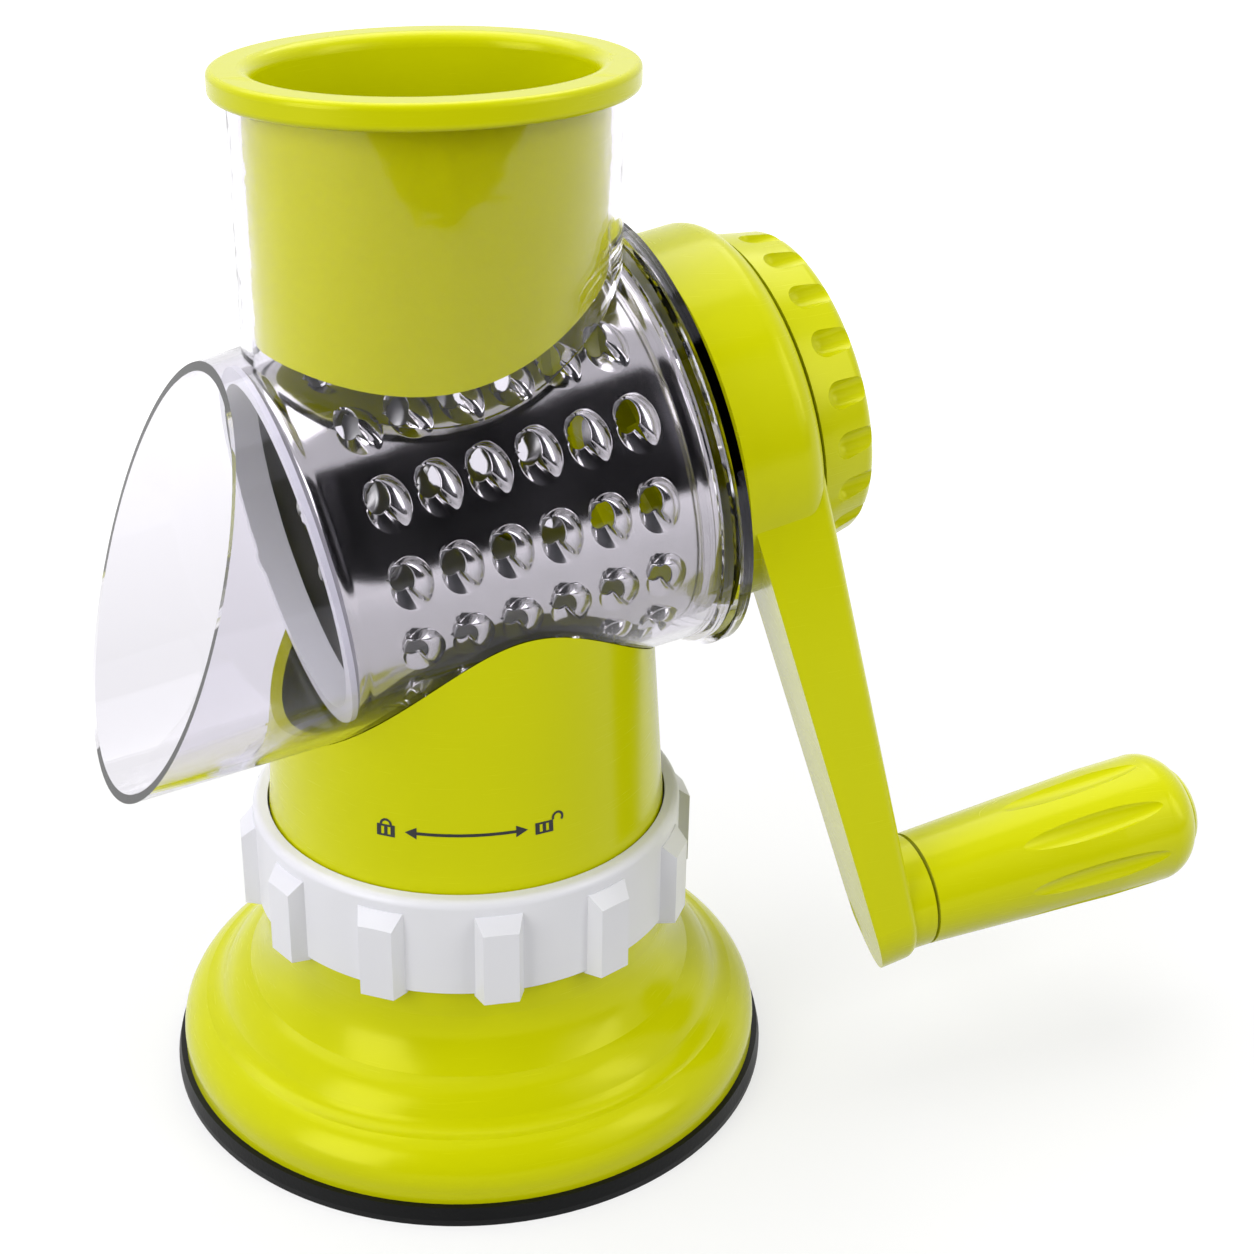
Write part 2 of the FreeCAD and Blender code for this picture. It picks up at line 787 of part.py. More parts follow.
def lifter_screw():
    """Screw from above through the lifter into the stud."""
    body = turned(
        "lifter_screw",
        [
            ("0", f"{LIFTER_TOP} - screw_length"),
            ("screw_radius", f"{LIFTER_TOP} - screw_length"),
            ("screw_radius", LIFTER_TOP),
            ("screw_head_radius", LIFTER_TOP),
            ("screw_head_radius", f"{LIFTER_TOP} + screw_head_height"),
            ("0", f"{LIFTER_TOP} + screw_head_height"),
        ],
    )
    return piece(body, "lifter_screw")


def screw_group(screws, bottom):
    """Make a ring of equal screws, head down, as one group of separate solids."""
    label = f"{screws}s"
    pattern_body = screw(f"{screws}_blank", bottom)
    count = int(number("screw_count"))
    copies = []
    for index in range(count):
        copy = doc.addObject("Part::Feature", f"{screws}_{index + 1}")
        doc.recompute()
        copy.Shape = pattern_body.Shape
        angle = math.radians(number(f"{screws}_angle") + index * FULL_TURN / count)
        reach = number(f"{screws}_circle")
        copy.Placement.Base = FreeCAD.Vector(reach * math.cos(angle), reach * math.sin(angle), 0)
        copies.append(copy)
    group = doc.addObject("Part::Compound", label)
    group.Links = copies
    return piece(group, label)


# ---------------------------------------------------------------- clear housing, built early
# because the column's saddle is cut to it

DRUM_TAPER = "((drum_big_radius - drum_small_radius) / (drum_end - drum_start))"
WASHER_START = "drum_end + drum_hub_lip"
PLATE_START = f"{WASHER_START} + washer_thickness + washer_gap"
FLANGE_END = f"{PLATE_START} + end_plate_recess"
CRANK_START = f"{FLANGE_END} + crank_hub_gap"
CRANK_FACE = f"{CRANK_START} + crank_hub_length"
ARM_FACE_START = "knob_base_radius + arm_knob_gap"
ARM_FACE_RISE = f"tan(arm_outer_lean) * (crank_radius - ({ARM_FACE_START}))"
GRIP_START = f"{CRANK_FACE} + {ARM_FACE_RISE} + grip_boss_height"


def drum_radius(position):
    """Return the expression for the drum's outer radius at a place on its axis."""
    return f"(drum_small_radius + (({position}) - drum_start) * {DRUM_TAPER})"


def drum_cone(name, margin):
    """Make a cone that stays one margin outside the drum, from past the mouth to the flange."""
    start = "-mouth_reach"
    item = cone(
        name,
        f"{drum_radius(start)} + {margin}",
        f"{drum_radius(PLATE_START)} + {margin}",
        f"{PLATE_START} + mouth_reach",
    )
    return put_on_drum_axis(item, start)


def plate_room(name, margin):
    """Make the round room the end plate needs, open to the crank's side, plus a margin."""
    room = cylinder(name, f"flange_radius - flange_wall + {margin}", "mouth_reach")
    return put_on_drum_axis(room, f"({PLATE_START} - {margin})")


def mouth_cutter():
    """Make the box whose face is the slanted plane of the outlet's mouth."""
    mouth = doc.addObject("Part::Box", "mouth_cutter")
    bind(mouth, Length="2 * mouth_reach", Width="2 * mouth_reach", Height="mouth_reach")
    lean = FreeCAD.Rotation(Y_AXIS, number("mouth_angle"))
    corner = lean.multVec(FreeCAD.Vector(-1, -1, 0) * number("mouth_reach"))
    corner = corner + Z_AXIS * number("mouth_position")
    below = lean.multVec(Z_AXIS) * -number("mouth_reach")
    mouth.Placement = drum_frame().multiply(FreeCAD.Placement(corner + below, lean))
    return mouth


def housing():
    """Moulded clear housing: conical drum tunnel, slanted outlet, oval chute and end flange."""
    skin = "housing_clearance + housing_wall"
    tunnel = cut("tunnel", drum_cone("tunnel_outside", skin), mouth_cutter())
    chute = oval(
        "chute_outside", "chute_half_length", "chute_half_width", "axis_height", "chute_top_height"
    )
    collar = turned(
        "housing_flange",
        [
            (f"{drum_radius(PLATE_START)} + housing_clearance", "drum_end - collar_length"),
            ("collar_radius", "drum_end - collar_length"),
            ("collar_radius", "drum_end"),
            ("flange_radius", "drum_end + flange_step"),
            ("flange_radius", FLANGE_END),
            ("flange_radius - flange_wall", FLANGE_END),
            ("flange_radius - flange_wall", PLATE_START),
            (f"{drum_radius(PLATE_START)} + housing_clearance", PLATE_START),
        ],
    )
    put_on_drum_axis(collar)
    spigot = cylinder("spigot_outside", "spigot_radius", f"axis_height - ({COLUMN_FLOOR_TOP})")
    bind(spigot, Placement__Base__z=COLUMN_FLOOR_TOP)
    outside = fuse("housing_outside", [tunnel, chute, collar, spigot])
    bore = drum_cone("tunnel_inside", "housing_clearance")
    throat = oval(
        "chute_inside",
        "chute_half_length - chute_wall",
        "chute_half_width - chute_wall",
        "axis_height",
        f"chute_top_height + {PASS}",
    )
    hollow = cylinder(
        "spigot_inside",
        "spigot_radius - spigot_wall",
        f"axis_height - drum_big_radius - housing_clearance - 2 * housing_wall"
        f" - ({COLUMN_FLOOR_TOP}) - spigot_floor",
    )
    bind(hollow, Placement__Base__z=f"{COLUMN_FLOOR_TOP} + spigot_floor")
    screw_holes = []
    for index in range(int(number("screw_count"))):
        hole = cylinder(f"spigot_screw_hole_{index + 1}", "screw_radius + screw_gap", "screw_length")
        angle = f"(housing_screw_angle + {FULL_TURN} * {index} / screw_count)"
        bind(
            hole,
            Placement__Base__x=f"housing_screw_circle * cos({angle})",
            Placement__Base__y=f"housing_screw_circle * sin({angle})",
            Placement__Base__z=COLUMN_FLOOR_TOP,
        )
        screw_holes.append(hole)
    room = plate_room("housing_plate_room", "0")
    inside = fuse("housing_inside", [bore, throat, room, hollow] + screw_holes)
    return piece(cut("housing", outside, inside), "housing")


# ---------------------------------------------------------------- column


def column():
    """Tapered lime column whose open top is cut to the underside of the housing."""
    slope = "(column_foot_radius - column_top_radius) / (column_top_height - column_straight_height)"
    floor_top = COLUMN_FLOOR_TOP
    body = turned(
        "column_blank",
        [
            ("0", "tube_top_height"),
            ("column_foot_radius - column_wall", "tube_top_height"),
            ("column_foot_radius - column_wall", COLUMN_FOOT),
            ("column_foot_radius", COLUMN_FOOT),
            ("column_foot_radius", "column_straight_height"),
            ("column_top_radius", "column_top_height"),
            ("column_top_radius - column_wall", "column_top_height"),
            (f"column_foot_radius - column_wall - ({slope}) * column_floor", f"{floor_top} + column_floor"),
            (f"column_foot_radius - column_wall - ({slope}) * column_floor", floor_top),
            ("0", floor_top),
        ],
    )
    boss = circle_sketch(
        body, "column_boss", "screw_boss_radius", screw_spot("column_screw"), floor_top
    )
    around(body, [pad(body, "column_boss_pad", boss, "screw_boss_height")], "screw_count")
    hole = circle_sketch(
        body, "column_boss_hole", "screw_radius + screw_gap",
        screw_spot("column_screw"), f"{floor_top} + screw_boss_height",
    )
    hole_cut = pocket(body, "column_boss_hole_cut", hole, "screw_boss_height + column_floor")
    around(body, [hole_cut], "screw_count")
    pass_hole = circle_sketch(
        body, "housing_screw_pass", "screw_radius + screw_gap",
        screw_spot("housing_screw"), floor_top,
    )
    around(body, [pocket(body, "housing_screw_pass_cut", pass_hole, "column_floor")], "screw_count")
    saddle = drum_cone("saddle_cutter", "housing_clearance + housing_wall + saddle_gap")
    return piece(cut("column", body, saddle), "column")


# ---------------------------------------------------------------- drum


def tooth_position(index):
    """Return the expression for a tooth's place along the drum."""
    return f"(tooth_first + {index} * tooth_pitch)"


def drum_sleeve():
    """Conical stainless sleeve with rows of round holes punched through it, one to each tooth."""
    body = turned(
        "drum_sleeve",
        [
            ("drum_small_radius", "drum_start"),
            ("drum_big_radius", "drum_end"),
            ("drum_big_radius - drum_wall", "drum_end"),
            ("drum_small_radius - drum_wall", "drum_start"),
        ],
    )
    teeth = range(int(number("teeth_per_row")))
    hole = body.newObject("Sketcher::SketchObject", "tooth_holes")
    hole.AttachmentSupport = (plane_of(body, "XZ_Plane"), [""])
    hole.MapMode = "FlatFace"
    for index in teeth:
        place = tooth_position(index)
        hole.addGeometry(Part.Circle(FreeCAD.Vector(0, number(place), 0), Z_AXIS, 1.0), False)
        limits = [
            (Sketcher.Constraint("Radius", index, number("tooth_hole_radius")), "tooth_hole_radius"),
            (Sketcher.Constraint("DistanceX", -1, 1, index, 3, 0.0), "0"),
            (Sketcher.Constraint("DistanceY", -1, 1, index, 3, number(place)), place),
        ]
        for constraint, expression in limits:
            size = hole.addConstraint(constraint)
            hole.setExpression(f"Constraints[{size}]", bound(expression))
    quarter = FreeCAD.Rotation(Y_AXIS, QUARTER_TURN)
    hole.AttachmentOffset = FreeCAD.Placement(ORIGIN, quarter)
    hole_cut = pocket(
        body, "tooth_holes_cut", hole, f"drum_big_radius + {PASS}", along_normal=True
    )
    around(body, [hole_cut], "tooth_rows")
    put_on_drum_axis(body)
    return piece(body, "drum_sleeve")


def drum_end_ring():
    """White ring that trims the open end: a lip over the steel edge and a liner inside it."""
    lip_top = "drum_start - end_ring_gap"
    inner = f"{drum_radius('drum_start')} - drum_wall - end_ring_gap"
    deep = "drum_start + end_ring_depth"
    body = turned(
        "drum_end_ring",
        [
            (f"{inner} - end_ring_width", "drum_start - end_ring_lip"),
            ("drum_small_radius + end_ring_lip_cover", "drum_start - end_ring_lip"),
            ("drum_small_radius + end_ring_lip_cover", lip_top),
            (inner, lip_top),
            (f"{drum_radius(deep)} - drum_wall - end_ring_gap", deep),
            (f"{inner} - end_ring_width", deep),
        ],
    )
    return piece(put_on_drum_axis(body), "drum_end_ring")


def drum_hub():
    """Moulded plug that closes the drum's wide end and grips the shaft."""
    back = "drum_end - drum_hub_depth"
    body = turned(
        "drum_hub",
        [
            ("shaft_radius", "drum_end - drum_hub_boss_length"),
            ("drum_hub_boss_radius", "drum_end - drum_hub_boss_length"),
            ("drum_hub_boss_radius", "drum_end - drum_hub_web"),
            (f"{drum_radius('drum_end')} - drum_wall - drum_hub_rim", "drum_end - drum_hub_web"),
            (f"{drum_radius(back)} - drum_wall - drum_hub_rim", back),
            (f"{drum_radius(back)} - drum_wall", back),
            (f"{drum_radius('drum_end')} - drum_wall", "drum_end"),
            ("drum_hub_boss_radius", "drum_end"),
            ("drum_hub_boss_radius", WASHER_START),
            ("shaft_radius", WASHER_START),
        ],
    )
    rib_end = f"{drum_radius(back)} - drum_wall - drum_hub_rim / 2"
    rib = outline(
        body,
        "XY_Plane",
        "drum_hub_rib",
        [
            ("drum_hub_boss_radius - drum_hub_rib / 2", "-drum_hub_rib / 2"),
            (rib_end, "-drum_hub_rib / 2"),
            (rib_end, "drum_hub_rib / 2"),
            ("drum_hub_boss_radius - drum_hub_rib / 2", "drum_hub_rib / 2"),
        ],
        back,
    )
    rib_pad = pad(body, "drum_hub_rib_pad", rib, "drum_hub_depth - drum_hub_web / 2")
    around(body, [rib_pad], "drum_hub_rib_count")
    return piece(put_on_drum_axis(body), "drum_hub")


SHAFT_START = "drum_end - drum_hub_boss_length"
SQUARE_START = f"{CRANK_START} + crank_boss_recess"
THREAD_START = f"{CRANK_FACE} - crank_hub_wall"
PLATE_BOSS_END = f"{PLATE_START} + end_plate_thickness + end_plate_boss_height"


def drive_shaft():
    """Steel shaft: round in the drum's hub and the bush, square in the crank, then threaded."""
    body = turned(
        "drive_shaft",
        [
            ("0", SHAFT_START),
            ("shaft_radius", SHAFT_START),
            ("shaft_radius", SQUARE_START),
            ("shaft_thread_radius", SQUARE_START),
            ("shaft_thread_radius", f"{THREAD_START} + shaft_thread_length"),
            ("0", f"{THREAD_START} + shaft_thread_length"),
        ],
    )
    half = "shaft_square / 2"
    square = outline(
        body,
        "XY_Plane",
        "shaft_square_outline",
        [(f"-{half}", f"-{half}"), (half, f"-{half}"), (half, half), (f"-{half}", half)],
        SQUARE_START,
    )
    pad(body, "shaft_square_pad", square, f"{THREAD_START} - ({SQUARE_START})")
    return piece(put_on_drum_axis(body), "drive_shaft")


def thrust_washer():
    """Slippery washer between the drum's hub and the end plate."""
    body = turned(
        "thrust_washer",
        [
            ("shaft_radius + running_gap", WASHER_START),
            ("washer_radius", WASHER_START),
            ("washer_radius", f"{WASHER_START} + washer_thickness"),
            ("shaft_radius + running_gap", f"{WASHER_START} + washer_thickness"),
        ],
    )
    return piece(put_on_drum_axis(body), "thrust_washer")


def end_plate():
    """Clear plate that closes the flange and carries the bush."""
    rim = "flange_radius - flange_wall - end_plate_gap"
    bore = "shaft_radius + running_gap + bush_wall"
    body = turned(
        "end_plate",
        [
            (bore, PLATE_START),
            (rim, PLATE_START),
            (rim, f"{PLATE_START} + end_plate_thickness"),
            (f"{bore} + end_plate_boss_wall", f"{PLATE_START} + end_plate_thickness"),
            (f"{bore} + end_plate_boss_wall", PLATE_BOSS_END),
            (bore, PLATE_BOSS_END),
        ],
    )
    return piece(put_on_drum_axis(body), "end_plate")


def bearing_bush():
    """Flanged plain bush pressed into the end plate."""
    bore = "shaft_radius + running_gap"
    top = PLATE_BOSS_END
    body = turned(
        "bearing_bush",
        [
            (bore, PLATE_START),
            (f"{bore} + bush_wall", PLATE_START),
            (f"{bore} + bush_wall", top),
            (f"{bore} + bush_wall + bush_flange", top),
            (f"{bore} + bush_wall + bush_flange", f"{top} + bush_flange_thickness"),
            (bore, f"{top} + bush_flange_thickness"),
        ],
    )
    return piece(put_on_drum_axis(body), "bearing_bush")


# ---------------------------------------------------------------- crank


def crank_hub_body():
    """Cup-shaped hub of the crank, open to the drum, with a square socket in its boss."""
    face = CRANK_FACE
    body = turned(
        "crank_hub",
        [
            ("shaft_thread_radius + thread_gap", SQUARE_START),
            ("crank_boss_radius", SQUARE_START),
            ("crank_boss_radius", f"{face} - crank_hub_wall"),
            ("crank_hub_radius - crank_hub_wall", f"{face} - crank_hub_wall"),
            ("crank_hub_radius - crank_hub_wall", CRANK_START),
            ("crank_hub_radius", CRANK_START),
            ("crank_hub_radius", face),
            ("shaft_thread_radius + thread_gap", face),
        ],
    )
    round_edges(body, "crank_hub_edge", circle_at("crank_hub_radius", face), "crank_hub_round")
    half = "(shaft_square / 2 + running_gap)"
    socket = outline(
        body,
        "XY_Plane",
        "crank_socket",
        [(f"-{half}", f"-{half}"), (half, f"-{half}"), (half, half), (f"-{half}", half)],
        THREAD_START,
    )
    pocket(body, "crank_socket_cut", socket, "crank_hub_length - crank_hub_wall")
    return put_on_drum_axis(body)


def arm_bar():
    """Tapered arm with a round end about the grip's pin, planed to its slanted faces."""
    root = crank_direction("arm_root_forward_angle") * number("arm_root_radius")
    tip = crank_direction("crank_forward_angle") * number("crank_radius")
    length = (tip - root).Length
    along = (tip - root).normalize()
    rear = Z_AXIS.cross(along)
    frame = FreeCAD.Placement(tip, FreeCAD.Rotation(along, rear, Z_AXIS, "XZY"))
    root_half = number("arm_root_half_width")
    tip_half = number("arm_tip_half_width")
    spread = math.atan2(root_half, length)
    spread = spread - math.asin(tip_half / math.hypot(root_half, length))
    touch_x = str(tip_half * math.sin(spread))
    touch_y = str(tip_half * math.cos(spread))
    body = new_body("arm_bar")
    shape = outline(
        body,
        "XY_Plane",
        "arm_outline",
        [
            (str(-length), "-arm_root_half_width"),
            (touch_x, f"-{touch_y}", "arm_tip_half_width", 1),
            (touch_x, touch_y),
            (str(-length), "arm_root_half_width"),
        ],
        CRANK_START,
    )
    pad(body, "arm_pad", shape, "2 * crank_hub_length")
    body.Placement = drum_frame().multiply(frame)
    face_drop = f"({ARM_FACE_START} - arm_root_radius) * tan(arm_outer_lean)"
    low = FreeCAD.Vector(-length, -root_half, number(CRANK_START))
    high = FreeCAD.Vector(-length, -root_half, number(f"{CRANK_FACE} - {face_drop}"))
    inner = arm_plane("arm_inner_plane", low, "arm_inner_lean", "arm_inner_slant", below=True)
    outer = arm_plane("arm_outer_plane", high, "arm_outer_lean", "0", below=False)
    for plane in (inner, outer):
        plane.Placement = drum_frame().multiply(frame).multiply(plane.Placement)
    bar = cut("arm_planed", body, fuse("arm_planes", [inner, outer]))
    doc.recompute()
    face = outer.Shape.copy()
    rounds = [
        (index, number("arm_edge_round"), number("arm_edge_round"))
        for index, edge in enumerate(bar.Shape.Edges, start=1)
        if all(face.distToShape(Part.Vertex(spot))[0] < 0.001 for spot in edge.discretize(5))
    ]
    soft = doc.addObject("Part::Fillet", "arm_bar_soft")
    soft.Base = bar
    soft.Edges = rounds
    return soft


def arm_plane(name, corner, lean, slant, below):
    """Make a box with one face on the plane that leans along and slants across from a corner."""
    box = doc.addObject("Part::Box", name)
    bind(box, Length="2 * crank_radius", Width="2 * crank_radius", Height="2 * crank_hub_length")
    along = FreeCAD.Vector(1, 0, math.tan(math.radians(number(lean))))
    across = FreeCAD.Vector(0, 1, math.tan(math.radians(number(slant))))
    turn = FreeCAD.Rotation(along, across, along.cross(across), "ZXY")
    reach = number("crank_radius")
    start = FreeCAD.Vector(-reach / 2, -reach, -number("2 * crank_hub_length") if below else 0)
    box.Placement = FreeCAD.Placement(corner + turn.multVec(start), turn)
    return box


def crank_arm():
    """Hub, arm and grip boss of the crank, moulded in one."""
    boss = turned(
        "grip_boss",
        [
            ("pin_radius", "-grip_boss_height - grip_boss_depth"),
            ("grip_boss_radius", "-grip_boss_height - grip_boss_depth"),
            ("grip_boss_radius", "0"),
            ("pin_radius", "0"),
        ],
    )
    boss.Placement = grip_frame()
    bore = cylinder("grip_pin_bore", "pin_radius", "2 * pin_tail")
    bore_start = FreeCAD.Placement(Z_AXIS * -number("pin_tail"), FreeCAD.Rotation())
    bore.Placement = grip_frame().multiply(bore_start)
    hub_inside = "crank_hub_radius - crank_hub_wall"
    hollow = cylinder("crank_hub_hollow", hub_inside, "crank_hub_length - crank_hub_wall")
    put_on_drum_axis(hollow, CRANK_START)
    bar = cut("arm_bar_trimmed", arm_bar(), hollow)
    solid = fuse("crank_solid", [crank_hub_body(), bar, boss])
    return piece(cut("crank_arm", solid, bore), "crank_arm")


# ---------------------------------------------------------------- knob and grip

KNOB_START = f"{CRANK_FACE} + knob_gap"


def clamp_knob():
    """Scalloped hand nut that clamps the crank to the drum's shaft."""
    edge = f"{KNOB_START} + knob_length"
    body = turned(
        "clamp_knob",
        [
            ("shaft_thread_radius + thread_gap", KNOB_START),
            ("knob_boss_radius", KNOB_START),
            ("knob_boss_radius", f"{edge} - knob_wall"),
            ("knob_edge_radius - knob_wall", f"{edge} - knob_wall"),
            ("knob_base_radius - knob_wall", KNOB_START),
            ("knob_base_radius", KNOB_START),
            ("knob_edge_radius", edge),
            ("knob_boss_radius", f"{edge} + knob_crown"),
            ("0", f"{edge} + knob_crown"),
            ("0", f"{edge} - knob_wall + knob_crown"),
            ("shaft_thread_radius + thread_gap", f"{edge} - knob_wall + knob_crown"),
        ],
    )
    round_edges(body, "knob_edge", circle_at("knob_edge_radius", edge), "knob_edge_round")
    bottom = f"{KNOB_START} + scallop_start"
    scallop = outline(
        body,
        "XZ_Plane",
        "knob_scallop",
        [
            ("0", bottom, "scallop_radius", 1),
            ("scallop_radius", f"{bottom} + scallop_radius"),
            ("scallop_radius", f"{edge} + knob_crown + {PASS}"),
            ("0", f"{edge} + knob_crown + {PASS}"),
        ],
    )
    scallop.AttachmentOffset = FreeCAD.Placement(
        FreeCAD.Vector(number("scallop_circle"), 0, 0), FreeCAD.Rotation()
    )
    bind(scallop, AttachmentOffset__Base__x="scallop_circle")
    scallop_cut = body.newObject("PartDesign::Groove", "knob_scallop_cut")
    scallop_cut.Profile = (scallop, [""])
    scallop_cut.ReferenceAxis = (scallop, ["V_Axis"])
    scallop_cut.Angle = FULL_TURN
    around(body, [scallop_cut], "knob_scallops")
    seat = circle_sketch(body, "knob_nut_seat", "nut_radius", height=f"{KNOB_START} + nut_length")
    pocket(body, "knob_nut_seat_cut", seat, "nut_length")
    return piece(put_on_drum_axis(body), "clamp_knob")


def knob_nut():
    """Brass insert in the knob's boss that takes the shaft's thread."""
    body = turned(
        "knob_nut",
        [
            ("shaft_thread_radius + running_gap", KNOB_START),
            ("nut_radius", KNOB_START),
            ("nut_radius", f"{KNOB_START} + nut_length"),
            ("shaft_thread_radius + running_gap", f"{KNOB_START} + nut_length"),
        ],
    )
    return piece(put_on_drum_axis(body), "knob_nut")


def grip_washer():
    """Thin washer between the crank's boss and the turning grip."""
    body = turned(
        "grip_washer",
        [
            ("pin_radius", "0"),
            ("grip_washer_radius", "0"),
            ("grip_washer_radius", "grip_washer_thickness"),
            ("pin_radius", "grip_washer_thickness"),
        ],
    )
    body.Placement = grip_frame()
    return piece(body, "grip_washer")


PIN_SEAT = "grip_length - cap_plug_length - pin_cap_gap - pin_head_height"


def grip():
    """Fluted handle, thicker towards its end, that spins on the pin."""
    start = "grip_washer_thickness + grip_gap"
    body = turned(
        "grip",
        [
            ("pin_radius + running_gap", start),
            ("grip_start_radius", start),
            ("grip_belly_radius", "grip_belly_position"),
            ("grip_belly_radius", "grip_shoulder_position", "grip_end_round", 1),
            ("grip_end_radius", "grip_length"),
            ("cap_plug_radius", "grip_length"),
            ("cap_plug_radius", PIN_SEAT),
            ("pin_radius + running_gap", PIN_SEAT),
        ],
    )
    flute = body.newObject("PartDesign::SubtractiveEllipsoid", "grip_flute")
    flute.Angle1 = -QUARTER_TURN
    flute.Angle2 = QUARTER_TURN
    flute.Angle3 = FULL_TURN
    bind(flute, Radius1="flute_half_length", Radius2="flute_reach", Radius3="flute_half_width")
    centre = "grip_belly_radius + flute_reach - flute_depth"
    flute.AttachmentSupport = (plane_of(body, "XY_Plane"), [""])
    flute.MapMode = "FlatFace"
    flute.AttachmentOffset = FreeCAD.Placement(
        FreeCAD.Vector(number(centre), 0, number("flute_centre")), FreeCAD.Rotation()
    )
    bind(flute, AttachmentOffset__Base__x=centre, AttachmentOffset__Base__z="flute_centre")
    around(body, [flute], "flute_count")
    body.Placement = grip_frame()
    return piece(body, "grip")


def grip_pin():
    """Shoulder screw that holds the grip on the crank."""
    head = f"{PIN_SEAT} + grip_gap"
    body = turned(
        "grip_pin",
        [
            ("0", "-pin_tail"),
            ("pin_radius", "-pin_tail"),
            ("pin_radius", head),
            ("pin_head_radius", head),
            ("pin_head_radius", f"{head} + pin_head_height"),
            ("0", f"{head} + pin_head_height"),
        ],
    )
    body.Placement = grip_frame()
    return piece(body, "grip_pin")


def grip_cap():
    """Stepped plug that closes the grip's end."""
    body = turned(
        "grip_cap",
        [
            ("0", "grip_length - cap_plug_length"),
            ("cap_plug_radius", "grip_length - cap_plug_length"),
            ("cap_plug_radius", "grip_length"),
            ("cap_radius", "grip_length"),
            ("cap_radius", "grip_length + cap_height / 2"),
            ("cap_radius - cap_height / 2", "grip_length + cap_height"),
            ("0", "grip_length + cap_height"),
        ],
    )
    body.Placement = grip_frame()
    return piece(body, "grip_cap")


# ---------------------------------------------------------------- pusher


def pusher():
    """Oval cup that presses food on the drum; its floor follows the drum."""
    half_length = "chute_half_length - chute_wall - pusher_gap"
    half_width = "chute_half_width - chute_wall - pusher_gap"
    rim_bottom = "chute_top_height + pusher_seat_gap"
    rim_top = f"{rim_bottom} + pusher_rim_height"
    stem = oval("pusher_outside", half_length, half_width, "axis_height", rim_top)
    rim = oval(
        "pusher_rim",
        "chute_half_length + pusher_rim_overhang",
        "chute_half_width + pusher_rim_overhang",
        rim_bottom,
        rim_top,
    )
    cup = oval(
        "pusher_cup",
        f"{half_length} - pusher_wall",
        f"{half_width} - pusher_wall",
        "axis_height",
        f"{rim_top} + {PASS}",
    )
    floor_cone = drum_cone("pusher_floor_cone", "pusher_drum_gap + pusher_floor")
    hollow = cut("pusher_hollow", cup, floor_cone)
    body = fuse("pusher_solid", [stem, rim])
    below = drum_cone("pusher_drum_cone", "pusher_drum_gap")
    room = plate_room("pusher_plate_room", "pusher_plate_gap")
    tools = fuse("pusher_tools", [hollow, below, room])
    solid = cut("pusher_sharp", body, tools)
    doc.recompute()
    top = number(rim_top)
    bottom = number(rim_bottom)
    lip_length = 2 * number(f"{half_length} - pusher_wall")
    rim_length = 2 * number("chute_half_length + pusher_rim_overhang")
    rounds = []
    for index, edge in enumerate(solid.Shape.Edges, start=1):
        box = edge.BoundBox
        at_top = abs(box.ZMin - top) < 0.01 and abs(box.ZMax - top) < 0.01
        at_bottom = abs(box.ZMin - bottom) < 0.01 and abs(box.ZMax - bottom) < 0.01
        if at_top and abs(box.XLength - lip_length) < 0.1:
            rounds.append((index, number("pusher_lip_round"), number("pusher_lip_round")))
        if (at_top or at_bottom) and abs(box.XLength - rim_length) < 0.1:
            rounds.append((index, number("pusher_rim_round"), number("pusher_rim_round")))
    rim = doc.addObject("Part::Fillet", "pusher")
    rim.Base = solid
    rim.Edges = rounds
    return piece(rim, "pusher")


# ---------------------------------------------------------------- make, check and write

suction_cup()
cup_stud()
base_shell()
lock_ring()
lifter()
lifter_screw()
screw_group("column_screw", "tube_top_height - tube_wall - screw_head_height")
housing()
screw_group("housing_screw", "tube_top_height - screw_head_height")
column()
drum_sleeve()
drum_end_ring()
drum_hub()
drive_shaft()
thrust_washer()
end_plate()
bearing_bush()
crank_arm()
clamp_knob()
knob_nut()
grip_washer()
grip()
grip_pin()
grip_cap()
pusher()
doc.recompute()

failed = [item.Name for item in doc.Objects if {"Invalid", "Error"} & set(item.State)]
for item in pieces:
    if item.Shape.isNull() or not item.Shape.isValid():
        failed.append(item.Label)
if failed:
    raise RuntimeError(f"these objects failed: {failed}")

os.makedirs("parts", exist_ok=True)
for item in pieces:
    item.Shape.exportStep(f"parts/{item.Label}.step")
    print(f"{item.Label}: {len(item.Shape.Solids)} solid, {item.Shape.Volume:.0f} mm3")
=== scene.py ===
import math

import bpy
from mathutils import Matrix, Vector


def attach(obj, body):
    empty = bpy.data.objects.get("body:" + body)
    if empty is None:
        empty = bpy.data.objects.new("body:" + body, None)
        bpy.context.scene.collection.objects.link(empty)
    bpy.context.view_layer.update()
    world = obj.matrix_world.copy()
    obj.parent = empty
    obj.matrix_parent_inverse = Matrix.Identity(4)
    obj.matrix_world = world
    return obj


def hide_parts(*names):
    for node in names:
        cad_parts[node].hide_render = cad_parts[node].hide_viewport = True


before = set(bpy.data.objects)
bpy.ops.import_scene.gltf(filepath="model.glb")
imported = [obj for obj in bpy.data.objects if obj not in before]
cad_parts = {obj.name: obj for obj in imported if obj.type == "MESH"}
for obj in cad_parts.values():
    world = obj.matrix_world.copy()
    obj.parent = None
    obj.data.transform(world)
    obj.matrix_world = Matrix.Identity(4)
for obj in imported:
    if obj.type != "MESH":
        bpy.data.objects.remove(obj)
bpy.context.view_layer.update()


# ---------------------------------------------------------------- suction cup
# Moulded black rubber disc whose thick rim carries the whole grater and seals on the worktop.
# The rubber is satin from the mould, a little rougher where it has been handled.


